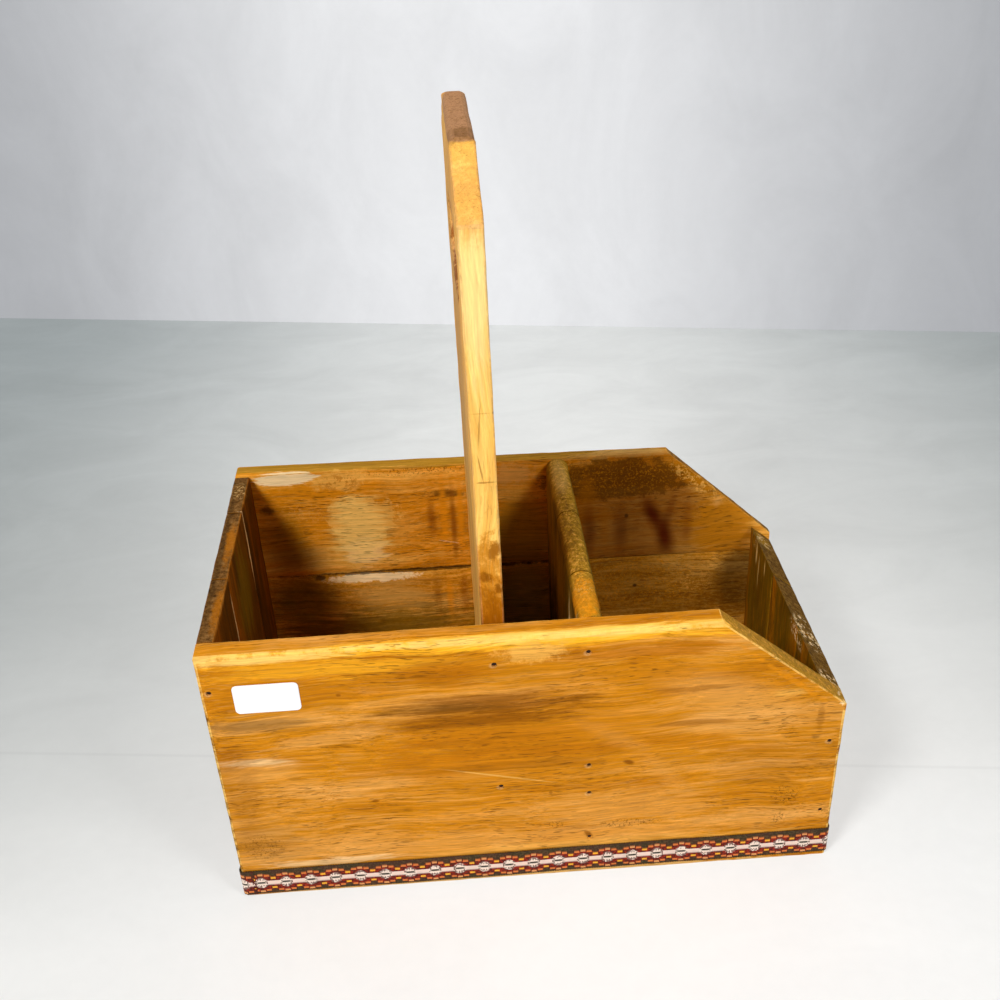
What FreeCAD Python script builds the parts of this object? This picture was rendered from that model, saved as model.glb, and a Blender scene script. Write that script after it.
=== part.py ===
"""Open wooden tote with a tall handle board, a divider and one low sloping end.

Frame: millimetres, +X along the front from the high end to the low end, +Y from front to back,
+Z up. The origin is at the middle of the base, on the surface that the tote stands on.

Construction: a front panel and a back panel run the full length. The end boards, the divider, the
handle board and the bottom boards fit between them and are held by nails driven through the panels.
The tote is hand-made: its plan is a little narrower at the low end than at the high end, and the back
panel was planed thinner towards the low end.
"""
import FreeCAD, Part
import math
import os

Vector = FreeCAD.Vector

# ---- driving dimensions -----------------------------------------------------------------------
LENGTH = 380.0
DEPTH_HIGH_END = 210.0          # outside depth at the high (left) end
DEPTH_LOW_END = 197.0           # outside depth at the low (right) end
WALL_HEIGHT = 200.0
SLOPE_START = 302.0             # distance from the high end at which both panels start to slope down
LOW_HEIGHT_FRONT = 132.0        # height left at the low end of the front panel
LOW_HEIGHT_BACK = 126.0         # height left at the low end of the back panel
LOW_END_FALL = 12.0             # how far the low end's own top falls from front to back

PANEL_THICKNESS = 14.5
BACK_THICKNESS_LOW_END = 6.0    # the back panel is planed thinner towards the low end
HIGH_END_THICKNESS = 11.0
LOW_END_THICKNESS = 15.0
BOTTOM_THICKNESS = 12.0
BACK_SEAM_HEIGHT = 111.5        # the back panel is two boards, joined edge to edge at this height

DIVIDER_FROM_HIGH_END = 216.5   # to the divider's left face
DIVIDER_THICKNESS = 16.0
DIVIDER_TOP_ROUND = 7.6         # radius of its rounded top

HANDLE_FROM_HIGH_END = 162.0    # to the handle board's left face
HANDLE_THICKNESS = 16.0
HANDLE_TOP = 467.0
HANDLE_SHOULDER = 438.0         # height at which the sloping shoulders start
HANDLE_CREST_WIDTH = 86.0       # flat top between the shoulders, front to back
HANDLE_ARRIS_RADIUS = 2.2
HANDLE_CREST_RADIUS = 4.0       # the crest is worn rounder than the edges

GRIP_LENGTH = 100.0             # hand hole, front to back, ends included
GRIP_HEIGHT = 34.0
GRIP_CENTRE_HEIGHT = 395.0
GRIP_EDGE_RADIUS = 2.5

# Board joints inside the cross walls, measured back from the front face of the tote.
HIGH_END_SEAMS = (76.0, 150.0)
LOW_END_SEAMS = (62.0, 128.0)
DIVIDER_SEAMS = (60.0, 126.0)
BOTTOM_SEAM = 97.0

TOP_BEVEL = 3.0                 # bevel planed along the front panel's top
SLOPE_BEVEL = 1.2               # lighter bevel along its sloping edge
CORNER_RADIUS = 2.0             # eased upright corners of the panels
SMALL_BEVEL = 1.0               # eased top arrises of the back panel
SEAM_BEVEL = 0.5                # tiny V where two boards meet
INNER_EASE = 2.5                # eased inner arris on top of the high end

NAIL_RADIUS = 1.3
NAIL_LENGTH = 38.0
HIGH_END_NAIL_HEIGHTS = (14.0, 174.0)
HANDLE_NAIL_HEIGHTS = (18.0, 83.0, 181.0)
DIVIDER_NAIL_HEIGHTS = (32.5, 72.0, 96.0, 185.5)
LOW_END_NAIL_HEIGHTS = (42.0, 102.0)
BOTTOM_NAIL_SPACING = 70.0
BOTTOM_NAILS_PER_PANEL = 5
BOTTOM_END_NAIL_DEPTHS = (50.0, 148.0)

RIBBON_WIDTH = 21.0
RIBBON_THICKNESS = 0.8
RIBBON_ABOVE_BASE = 3.5

LABEL_WIDTH = 38.1
LABEL_HEIGHT = 21.2
LABEL_THICKNESS = 0.15
LABEL_CORNER_RADIUS = 3.0
LABEL_FROM_HIGH_END = 18.8
LABEL_ABOVE_BASE = 157.3

# ---- worked-out places ------------------------------------------------------------------------
LEFT = -LENGTH / 2
RIGHT = LENGTH / 2
FRONT = -DEPTH_HIGH_END / 2
FRONT_INSIDE = FRONT + PANEL_THICKNESS
TAPER = (DEPTH_HIGH_END - DEPTH_LOW_END) / LENGTH
BACK_THINNING = (PANEL_THICKNESS - BACK_THICKNESS_LOW_END) / LENGTH

HANDLE_LEFT = LEFT + HANDLE_FROM_HIGH_END
HANDLE_CENTRE_X = HANDLE_LEFT + HANDLE_THICKNESS / 2
DIVIDER_LEFT = LEFT + DIVIDER_FROM_HIGH_END
DIVIDER_CENTRE_X = DIVIDER_LEFT + DIVIDER_THICKNESS / 2

FAR = 1000.0                    # reaches past the tote in any direction


def back_outside(x):
    """Y of the back panel's outer face at x."""
    return FRONT + DEPTH_HIGH_END - TAPER * (x - LEFT)


def back_inside(x):
    """Y of the back panel's inner face at x."""
    thickness = PANEL_THICKNESS - BACK_THINNING * (x - LEFT)
    return back_outside(x) - thickness * math.hypot(1, TAPER)


def prism(points, sweep):
    """Closed polygon swept along a vector."""
    wire = Part.makePolygon(points + [points[0]])
    return Part.Face(wire).extrude(sweep)


def edges_between(shape, chosen):
    """Edges of a shape whose end points all satisfy chosen(point)."""
    return [edge for edge in shape.Edges if all(chosen(vertex.Point) for vertex in edge.Vertexes)]


def near(value, target):
    return abs(value - target) < 0.01


# ---- shared cutting shapes --------------------------------------------------------------------
def side_profile(low_height):
    """Outline of a long panel seen from the front, swept through the whole depth."""
    outline = [
        Vector(LEFT, -FAR, 0),
        Vector(RIGHT, -FAR, 0),
        Vector(RIGHT, -FAR, low_height),
        Vector(LEFT + SLOPE_START, -FAR, WALL_HEIGHT),
        Vector(LEFT, -FAR, WALL_HEIGHT),
    ]
    return prism(outline, Vector(0, 2 * FAR, 0))


def bay():
    """The space between the two long panels, which every cross board is fitted to."""
    plan = [
        Vector(LEFT, FRONT_INSIDE, 0),
        Vector(RIGHT, FRONT_INSIDE, 0),
        Vector(RIGHT, back_inside(RIGHT), 0),
        Vector(LEFT, back_inside(LEFT), 0),
    ]
    return prism(plan, Vector(0, 0, FAR))


def cross_boards(wall, seams, name):
    """Cut a cross wall into its upright boards, each eased where it meets the next."""
    limits = [FRONT - 1] + [FRONT + seam for seam in seams] + [-FRONT + 1]
    boards = {}
    for place, near_side, far_side in zip(("front", "middle", "back"), limits, limits[1:]):
        slab = Part.makeBox(2 * FAR, far_side - near_side, FAR, Vector(-FAR, near_side, 0))
        board = wall.common(slab).Solids[0]
        inner_seams = [y for y in (near_side, far_side) if abs(y) < abs(FRONT)]
        arrises = [
            edge for edge in board.Edges
            if edge.Length > LOW_HEIGHT_BACK / 2
            and any(all(near(vertex.Y, y) for vertex in edge.Vertexes) for y in inner_seams)
        ]
        boards[f"{name}_{place}"] = board.makeChamfer(SEAM_BEVEL, arrises)
    return boards


# ---- front panel ------------------------------------------------------------------------------
def front_panel():
    """One board with a planed bevel along its top and a sawn slope at the low end."""
    board = Part.makeBox(LENGTH, PANEL_THICKNESS, WALL_HEIGHT, Vector(LEFT, FRONT, 0))
    board = board.common(side_profile(LOW_HEIGHT_FRONT)).Solids[0]

    def on_top(point):
        return near(point.y, FRONT) and near(point.z, WALL_HEIGHT)

    def on_slope(point):
        return near(point.y, FRONT) and point.x > LEFT + SLOPE_START - 1 and point.z > LOW_HEIGHT_FRONT - 1

    def on_end(point):
        return near(point.y, FRONT) and near(abs(point.x), RIGHT)

    board = board.makeChamfer(TOP_BEVEL, edges_between(board, on_top))
    slope = [edge for edge in edges_between(board, on_slope) if edge.BoundBox.ZLength > TOP_BEVEL + 1]
    board = board.makeChamfer(SLOPE_BEVEL, slope)
    ends = [edge for edge in edges_between(board, on_end) if edge.BoundBox.XLength < 0.01]
    return board.makeFillet(CORNER_RADIUS, ends)


# ---- back panel -------------------------------------------------------------------------------
def back_panel():
    """Two boards joined edge to edge, in a plane that closes in towards the low end."""
    plan = [
        Vector(LEFT, back_inside(LEFT), 0),
        Vector(RIGHT, back_inside(RIGHT), 0),
        Vector(RIGHT, back_outside(RIGHT), 0),
        Vector(LEFT, back_outside(LEFT), 0),
    ]
    panel = prism(plan, Vector(0, 0, WALL_HEIGHT)).common(side_profile(LOW_HEIGHT_BACK)).Solids[0]

    def on_outer_end(point):
        return near(point.y, back_outside(point.x)) and near(abs(point.x), RIGHT)

    def on_top(point):
        return near(point.z, WALL_HEIGHT)

    panel = panel.makeFillet(CORNER_RADIUS, edges_between(panel, on_outer_end))
    long_top = [edge for edge in edges_between(panel, on_top) if edge.Length > SLOPE_START / 2]
    panel = panel.makeChamfer(SMALL_BEVEL, long_top)

    lower_half = Part.makeBox(2 * FAR, 2 * FAR, BACK_SEAM_HEIGHT, Vector(-FAR, -FAR, 0))
    boards = {
        "back_panel_lower": panel.common(lower_half).Solids[0],
        "back_panel_upper": panel.cut(lower_half).Solids[0],
    }
    for name, board in boards.items():
        seam = [edge for edge in edges_between(board, lambda point: near(point.z, BACK_SEAM_HEIGHT))
                if edge.Length > SLOPE_START / 2]
        boards[name] = board.makeChamfer(SEAM_BEVEL, seam)
    return boards


# ---- cross walls ------------------------------------------------------------------------------
def high_end():
    """The full-height end wall, its top eased on the inside."""
    inside = LEFT + HIGH_END_THICKNESS
    section = [
        Vector(LEFT, -FAR, 0),
        Vector(inside, -FAR, 0),
        Vector(inside, -FAR, WALL_HEIGHT - INNER_EASE),
        Vector(inside - INNER_EASE, -FAR, WALL_HEIGHT),
        Vector(LEFT, -FAR, WALL_HEIGHT),
    ]
    wall = prism(section, Vector(0, 2 * FAR, 0)).common(bay())
    return cross_boards(wall, HIGH_END_SEAMS, "high_end")


def low_end():
    """The low end wall, its top bevelled like the panels' slopes and falling towards the back."""
    inside = RIGHT - LOW_END_THICKNESS
    slope = (WALL_HEIGHT - LOW_HEIGHT_FRONT) / (LENGTH - SLOPE_START)
    run_to_back = back_inside(RIGHT) - FRONT_INSIDE
    section = [
        Vector(inside, FRONT_INSIDE, -LOW_END_THICKNESS),
        Vector(RIGHT, FRONT_INSIDE, -LOW_END_THICKNESS),
        Vector(RIGHT, FRONT_INSIDE, LOW_HEIGHT_FRONT),
        Vector(inside, FRONT_INSIDE, LOW_HEIGHT_FRONT + slope * LOW_END_THICKNESS),
    ]
    sweep = Vector(0, run_to_back, -LOW_END_FALL) * 1.1
    wall = prism(section, sweep).common(bay())
    return cross_boards(wall, LOW_END_SEAMS, "low_end")


def divider():
    """The inner cross wall, with a fully rounded top."""
    left = DIVIDER_LEFT
    right = DIVIDER_LEFT + DIVIDER_THICKNESS
    spring = WALL_HEIGHT - DIVIDER_TOP_ROUND
    crown = Part.Arc(
        Vector(right, -FAR, spring),
        Vector(DIVIDER_CENTRE_X, -FAR, WALL_HEIGHT),
        Vector(left, -FAR, spring),
    )
    sides = Part.makePolygon([
        Vector(left, -FAR, spring),
        Vector(left, -FAR, BOTTOM_THICKNESS),
        Vector(right, -FAR, BOTTOM_THICKNESS),
        Vector(right, -FAR, spring),
    ])
    outline = Part.Wire([crown.toShape()] + sides.Edges)
    wall = Part.Face(outline).extrude(Vector(0, 2 * FAR, 0)).common(bay())
    return cross_boards(wall, DIVIDER_SEAMS, "divider")


def bottom():
    """Two boards laid side by side between the walls, flush with the base."""
    width = LENGTH - HIGH_END_THICKNESS - LOW_END_THICKNESS
    start = Vector(LEFT + HIGH_END_THICKNESS, -FAR, 0)
    sheet = Part.makeBox(width, 2 * FAR, BOTTOM_THICKNESS, start).common(bay())
    front_half = Part.makeBox(2 * FAR, FAR + FRONT + BOTTOM_SEAM, FAR, Vector(-FAR, -FAR, -FAR / 2))
    return {
        "bottom_front": sheet.common(front_half).Solids[0],
        "bottom_back": sheet.cut(front_half).Solids[0],
    }


# ---- handle board -----------------------------------------------------------------------------
def grip_hole(centre_y):
    """Straight slot with round ends, cut through the handle board for the hand."""
    radius = GRIP_HEIGHT / 2
    reach = GRIP_LENGTH / 2 - radius
    x = HANDLE_LEFT - 1
    low = GRIP_CENTRE_HEIGHT - radius
    high = GRIP_CENTRE_HEIGHT + radius
    front = centre_y - reach
    back = centre_y + reach
    edges = [
        Part.makeLine(Vector(x, front, low), Vector(x, back, low)),
        Part.Arc(Vector(x, back, low), Vector(x, back + radius, GRIP_CENTRE_HEIGHT),
                 Vector(x, back, high)).toShape(),
        Part.makeLine(Vector(x, back, high), Vector(x, front, high)),
        Part.Arc(Vector(x, front, high), Vector(x, front - radius, GRIP_CENTRE_HEIGHT),
                 Vector(x, front, low)).toShape(),
    ]
    return Part.Face(Part.Wire(edges)).extrude(Vector(HANDLE_THICKNESS + 2, 0, 0))


def handle_board():
    """Tall board with sloping shoulders and a hand hole, standing on the bottom boards."""
    back = back_inside(HANDLE_LEFT)
    centre_y = (FRONT_INSIDE + back_inside(HANDLE_CENTRE_X)) / 2
    outline = [
        Vector(HANDLE_LEFT, FRONT_INSIDE, BOTTOM_THICKNESS),
        Vector(HANDLE_LEFT, back, BOTTOM_THICKNESS),
        Vector(HANDLE_LEFT, back, HANDLE_SHOULDER),
        Vector(HANDLE_LEFT, centre_y + HANDLE_CREST_WIDTH / 2, HANDLE_TOP),
        Vector(HANDLE_LEFT, centre_y - HANDLE_CREST_WIDTH / 2, HANDLE_TOP),
        Vector(HANDLE_LEFT, FRONT_INSIDE, HANDLE_SHOULDER),
    ]
    board = prism(outline, Vector(HANDLE_THICKNESS, 0, 0)).common(bay()).Solids[0]

    def on_face_outline(edge):
        same_x = near(edge.Vertexes[0].X, edge.Vertexes[1].X)
        return same_x and edge.BoundBox.ZMin > BOTTOM_THICKNESS - 1 and edge.BoundBox.ZLength > 1

    def on_crest(point):
        return near(point.z, HANDLE_TOP)

    crest = [edge for edge in edges_between(board, on_crest) if edge.Length > HANDLE_CREST_WIDTH / 2]
    board = board.makeFillet(HANDLE_CREST_RADIUS, crest)
    arrises = [edge for edge in board.Edges if edge.Length > PANEL_THICKNESS and on_face_outline(edge)]
    board = board.makeFillet(HANDLE_ARRIS_RADIUS, arrises)
    board = board.cut(grip_hole(centre_y)).Solids[0]

    def on_grip(edge):
        box = edge.BoundBox
        inside = box.ZMin > GRIP_CENTRE_HEIGHT - GRIP_HEIGHT and box.ZMax < GRIP_CENTRE_HEIGHT + GRIP_HEIGHT
        return inside and box.XLength < 0.01

    return board.makeFillet(GRIP_EDGE_RADIUS, [edge for edge in board.Edges if on_grip(edge)])


# ---- nails ------------------------------------------------------------------------------------
def nail(head, direction):
    """Headless round nail driven along direction, flush with the wood at the point head."""
    return Part.makeCylinder(NAIL_RADIUS, NAIL_LENGTH, head, direction)


def nails_through_panels(x, heights):
    """A row of nails through the front panel and one through the back panel, into a cross wall."""
    rows = []
    for height in heights:
        rows.append(nail(Vector(x, FRONT, height), Vector(0, 1, 0)))
        rows.append(nail(Vector(x, back_outside(x), height), Vector(-TAPER, -1, 0)))
    return rows


def bottom_nails():
    """Nails through all four walls into the edges of the bottom boards."""
    height = BOTTOM_THICKNESS / 2
    middle = (BOTTOM_NAILS_PER_PANEL - 1) / 2
    rows = []
    for index in range(BOTTOM_NAILS_PER_PANEL):
        rows += nails_through_panels((index - middle) * BOTTOM_NAIL_SPACING, [height])
    for depth in BOTTOM_END_NAIL_DEPTHS:
        rows.append(nail(Vector(LEFT, FRONT + depth, height), Vector(1, 0, 0)))
        rows.append(nail(Vector(RIGHT, FRONT + depth, height), Vector(-1, 0, 0)))
    return rows


def all_nails():
    """Each joint's nails, as one group of separate solids."""
    joints = {
        "high_end_nails": nails_through_panels(LEFT + HIGH_END_THICKNESS / 2, HIGH_END_NAIL_HEIGHTS),
        "handle_nails": nails_through_panels(HANDLE_CENTRE_X, HANDLE_NAIL_HEIGHTS),
        "divider_nails": nails_through_panels(DIVIDER_CENTRE_X, DIVIDER_NAIL_HEIGHTS),
        "low_end_nails": nails_through_panels(RIGHT - LOW_END_THICKNESS / 2, LOW_END_NAIL_HEIGHTS),
        "bottom_nails": bottom_nails(),
    }
    return {name: Part.makeCompound(nails) for name, nails in joints.items()}


# ---- trim -------------------------------------------------------------------------------------
def ribbon():
    """Woven ribbon glued round all four walls just above the base."""
    plan = Part.makePolygon([
        Vector(LEFT, FRONT, 0),
        Vector(RIGHT, FRONT, 0),
        Vector(RIGHT, back_outside(RIGHT), 0),
        Vector(LEFT, back_outside(LEFT), 0),
        Vector(LEFT, FRONT, 0),
    ])
    outside = Part.Face(plan.makeOffset2D(RIBBON_THICKNESS))
    band = outside.cut(Part.Face(plan)).extrude(Vector(0, 0, RIBBON_WIDTH))
    band.translate(Vector(0, 0, RIBBON_ABOVE_BASE))
    return band.Solids[0]


def label():
    """Blank paper label with rounded corners, stuck on the front panel."""
    corner = Vector(LEFT + LABEL_FROM_HIGH_END, FRONT - LABEL_THICKNESS, LABEL_ABOVE_BASE)
    paper = Part.makeBox(LABEL_WIDTH, LABEL_THICKNESS, LABEL_HEIGHT, corner)
    corners = [edge for edge in paper.Edges if near(edge.Length, LABEL_THICKNESS)]
    return paper.makeFillet(LABEL_CORNER_RADIUS, corners)


def main():
    pieces = {
        "front_panel": front_panel(),
        "handle_board": handle_board(),
        "ribbon": ribbon(),
        "label": label(),
    }
    for group in (back_panel(), high_end(), low_end(), divider(), bottom(), all_nails()):
        pieces.update(group)

    os.makedirs("parts", exist_ok=True)
    for name, shape in pieces.items():
        if not shape.isValid():
            raise ValueError(f"{name} is not a valid solid")
        shape.exportStep(f"parts/{name}.step")
        print(f"{name}: {len(shape.Solids)} solid(s), {shape.Volume / 1000:.1f} cm3")


main()
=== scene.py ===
"""A hand-made wooden tote, dressed for display.

An open box of honey-stained boards with a tall handle board across it, a divider with a rounded top, a
low sloping end, a woven ribbon round the base and a blank paper label. Sizes in this file are in
millimetres and the scene is in metres: +X runs along the front from the high end to the low end, +Y
from front to back and +Z up, with the origin in the middle of the base.
"""
import logging
import math
from contextlib import contextmanager
from dataclasses import dataclass
from enum import Enum
from functools import cached_property
from typing import Any, Callable, Iterable, Iterator, Optional, Sequence, Tuple, Union

import bpy
from mathutils import Matrix, Vector


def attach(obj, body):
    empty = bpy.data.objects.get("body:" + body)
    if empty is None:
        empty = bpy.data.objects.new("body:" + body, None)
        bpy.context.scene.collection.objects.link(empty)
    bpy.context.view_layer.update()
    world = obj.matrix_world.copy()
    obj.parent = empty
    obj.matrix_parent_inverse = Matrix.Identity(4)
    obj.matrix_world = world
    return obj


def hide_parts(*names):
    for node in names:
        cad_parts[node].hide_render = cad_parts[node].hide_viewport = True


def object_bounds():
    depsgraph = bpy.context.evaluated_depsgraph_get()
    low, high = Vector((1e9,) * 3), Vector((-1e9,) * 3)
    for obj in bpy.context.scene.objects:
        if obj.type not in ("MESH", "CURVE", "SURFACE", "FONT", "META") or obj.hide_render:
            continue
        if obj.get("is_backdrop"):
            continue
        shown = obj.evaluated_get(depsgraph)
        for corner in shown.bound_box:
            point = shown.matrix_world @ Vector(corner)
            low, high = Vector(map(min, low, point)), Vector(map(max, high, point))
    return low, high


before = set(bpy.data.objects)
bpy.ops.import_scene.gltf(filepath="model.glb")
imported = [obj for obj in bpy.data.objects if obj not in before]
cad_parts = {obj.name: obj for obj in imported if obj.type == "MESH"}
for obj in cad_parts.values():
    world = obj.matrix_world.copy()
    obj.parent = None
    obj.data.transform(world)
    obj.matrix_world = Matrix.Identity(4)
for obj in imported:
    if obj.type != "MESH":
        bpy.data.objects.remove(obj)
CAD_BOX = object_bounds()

log = logging.getLogger("tote")

MM = 0.001
Triple = Tuple[float, float, float]
Pair = Tuple[float, float]
Piece = bpy.types.Object
Material = bpy.types.Material
Socket = bpy.types.NodeSocket

# ---- the tote's own planes, in millimetres --------------------------------------------------------
# BEYOND_BACK is a plane past the back panel, where rough stock ends, and TOUCH is how near to a plane an
# edge has to lie to count as being on it.
LEFT, RIGHT = -190.0, 190.0
FRONT, FRONT_INSIDE = -105.0, -90.5
PANEL, BACK_THIN_END = 14.5, 6.0
TAPER = 13.0 / 380.0
WALL_TOP = 200.0
FLOOR_TOP = 12.0
SLOPE_X = 112.0
LOW_FRONT, LOW_BACK = 132.0, 126.0
BEYOND_BACK = 110.0
RIBBON_TOP = 26.0
TOUCH = 1.0
X_AXIS, Y_AXIS, Z_AXIS = Vector((1, 0, 0)), Vector((0, 1, 0)), Vector((0, 0, 1))
BACK_NORMAL = Vector((TAPER, 1, 0)).normalized()
THINNING = (PANEL - BACK_THIN_END) / (RIGHT - LEFT)
INSIDE_TAPER = TAPER - THINNING * math.hypot(1, TAPER)
INSIDE_NORMAL = Vector((INSIDE_TAPER, 1, 0)).normalized()


def back_outside(x: float) -> float:
    """Y of the back panel's outer face at x."""
    return -FRONT - TAPER * (x - LEFT)


def back_inside(x: float) -> float:
    """Y of the back panel's inner face at x: the panel thins towards the low end."""
    thickness = PANEL - THINNING * (x - LEFT)
    return back_outside(x) - thickness * math.hypot(1, TAPER)


class Tone(Enum):
    """The colours that the finishes and marks are mixed from, as display red, green and blue."""

    HONEY = (222, 158, 72)
    TAN = (198, 127, 18)
    GINGER = (190, 118, 12)
    GOLD = (246, 176, 38)
    SUNLIT = (246, 204, 112)
    CORN = (232, 172, 78)
    STRAW = (244, 208, 138)
    CREAM = (240, 210, 158)
    SAND = (206, 152, 72)
    PEACH = (218, 156, 76)
    ORANGE = (214, 134, 16)
    AMBER = (174, 102, 6)
    CHESTNUT = (132, 74, 6)
    UMBER = (88, 52, 6)
    OXBLOOD = (84, 24, 2)
    RUSSET = (116, 52, 4)
    BARK = (108, 72, 32)
    SMOKE = (134, 98, 52)
    GREY_BEIGE = (170, 124, 86)
    OLIVE = (168, 124, 30)
    OLIVE_DRAB = (102, 84, 12)
    DARK_OLIVE = (104, 76, 8)
    DRIFT = (150, 110, 48)
    PEAT = (110, 76, 26)
    BLACK_BROWN = (44, 28, 8)
    BONE = (216, 176, 108)
    IRON = (44, 30, 20)
    RUST = (78, 46, 22)
    PAPER = (250, 250, 249)
    PAPER_SHADE = (232, 231, 226)
    THREAD_STRAW = (112, 90, 50)
    THREAD_OLIVE = (58, 46, 20)
    THREAD_PLUM = (70, 42, 24)
    THREAD_YELLOW = (250, 180, 48)
    THREAD_ORANGE = (226, 116, 44)
    THREAD_TAN = (228, 156, 92)
    THREAD_RED = (176, 42, 18)
    THREAD_MAROON = (88, 22, 8)
    THREAD_PINK = (248, 220, 204)
    THREAD_WHITE = (254, 234, 216)
    THREAD_BLACK = (34, 26, 12)

    @property
    def rgba(self) -> Tuple[float, float, float, float]:
        """The colour in the linear light that shaders use."""
        linear = [c / 255 / 12.92 if c <= 10 else ((c / 255 + 0.055) / 1.055) ** 2.4 for c in self.value]
        return (*linear, 1.0)


# ---- writing materials ----------------------------------------------------------------------------
def sum_of(operation: str, swapped: bool = False) -> Callable[["Value", "Number"], "Value"]:
    """Write an operator of Value.

    Args:
        operation: the Math node's operation.
        swapped: True for the reflected form, whose other number comes first.

    Returns:
        The method that adds the node.
    """

    def work(self: "Value", other: "Number") -> "Value":
        """Work the sum on this number and another."""
        return self.desk.math(operation, *((other, self) if swapped else (self, other)))

    return work


class Value:
    """A number that varies over a surface, which Python's own operators work on."""

    def __init__(self, desk: "Desk", socket: Socket) -> None:
        """Wrap one output socket of a node that stands on the desk."""
        self.desk = desk
        self.socket = socket

    __add__, __radd__ = sum_of("ADD"), sum_of("ADD", swapped=True)
    __sub__, __rsub__ = sum_of("SUBTRACT"), sum_of("SUBTRACT", swapped=True)
    __mul__, __rmul__ = sum_of("MULTIPLY"), sum_of("MULTIPLY", swapped=True)
    __truediv__ = sum_of("DIVIDE")
    __pow__ = sum_of("POWER")
    least, most = sum_of("MINIMUM"), sum_of("MAXIMUM")

    def __abs__(self) -> "Value":
        """The size of the number, without its sign."""
        return self.desk.math("ABSOLUTE", self)

    def fraction(self) -> "Value":
        """What is left over the whole number below."""
        return self.desk.math("FRACT", self)

    def steps(self, count: float) -> "Value":
        """The number held still over each of count equal steps, at the step's middle."""
        return (self.desk.math("FLOOR", self * count) + 0.5) / count

    def cosine(self) -> "Value":
        """The cosine of an angle in radians."""
        return self.desk.math("COSINE", self)

    def rise(self, start: float, end: float) -> "Value":
        """0 before start, 1 after end and a smooth step between. It falls instead if start is above end.

        Args:
            start: the value at which it is 0.
            end: the value at which it is 1.

        Returns:
            The step.
        """
        node = self.desk.node(
            "ShaderNodeMapRange",
            {"interpolation_type": "SMOOTHSTEP"},
            {0: self, 1: start, 2: end},
        )
        return Value(self.desk, node.outputs[0])


Number = Union[Value, float]
Feed = Union[Value, Socket, float, Sequence[float]]


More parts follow.
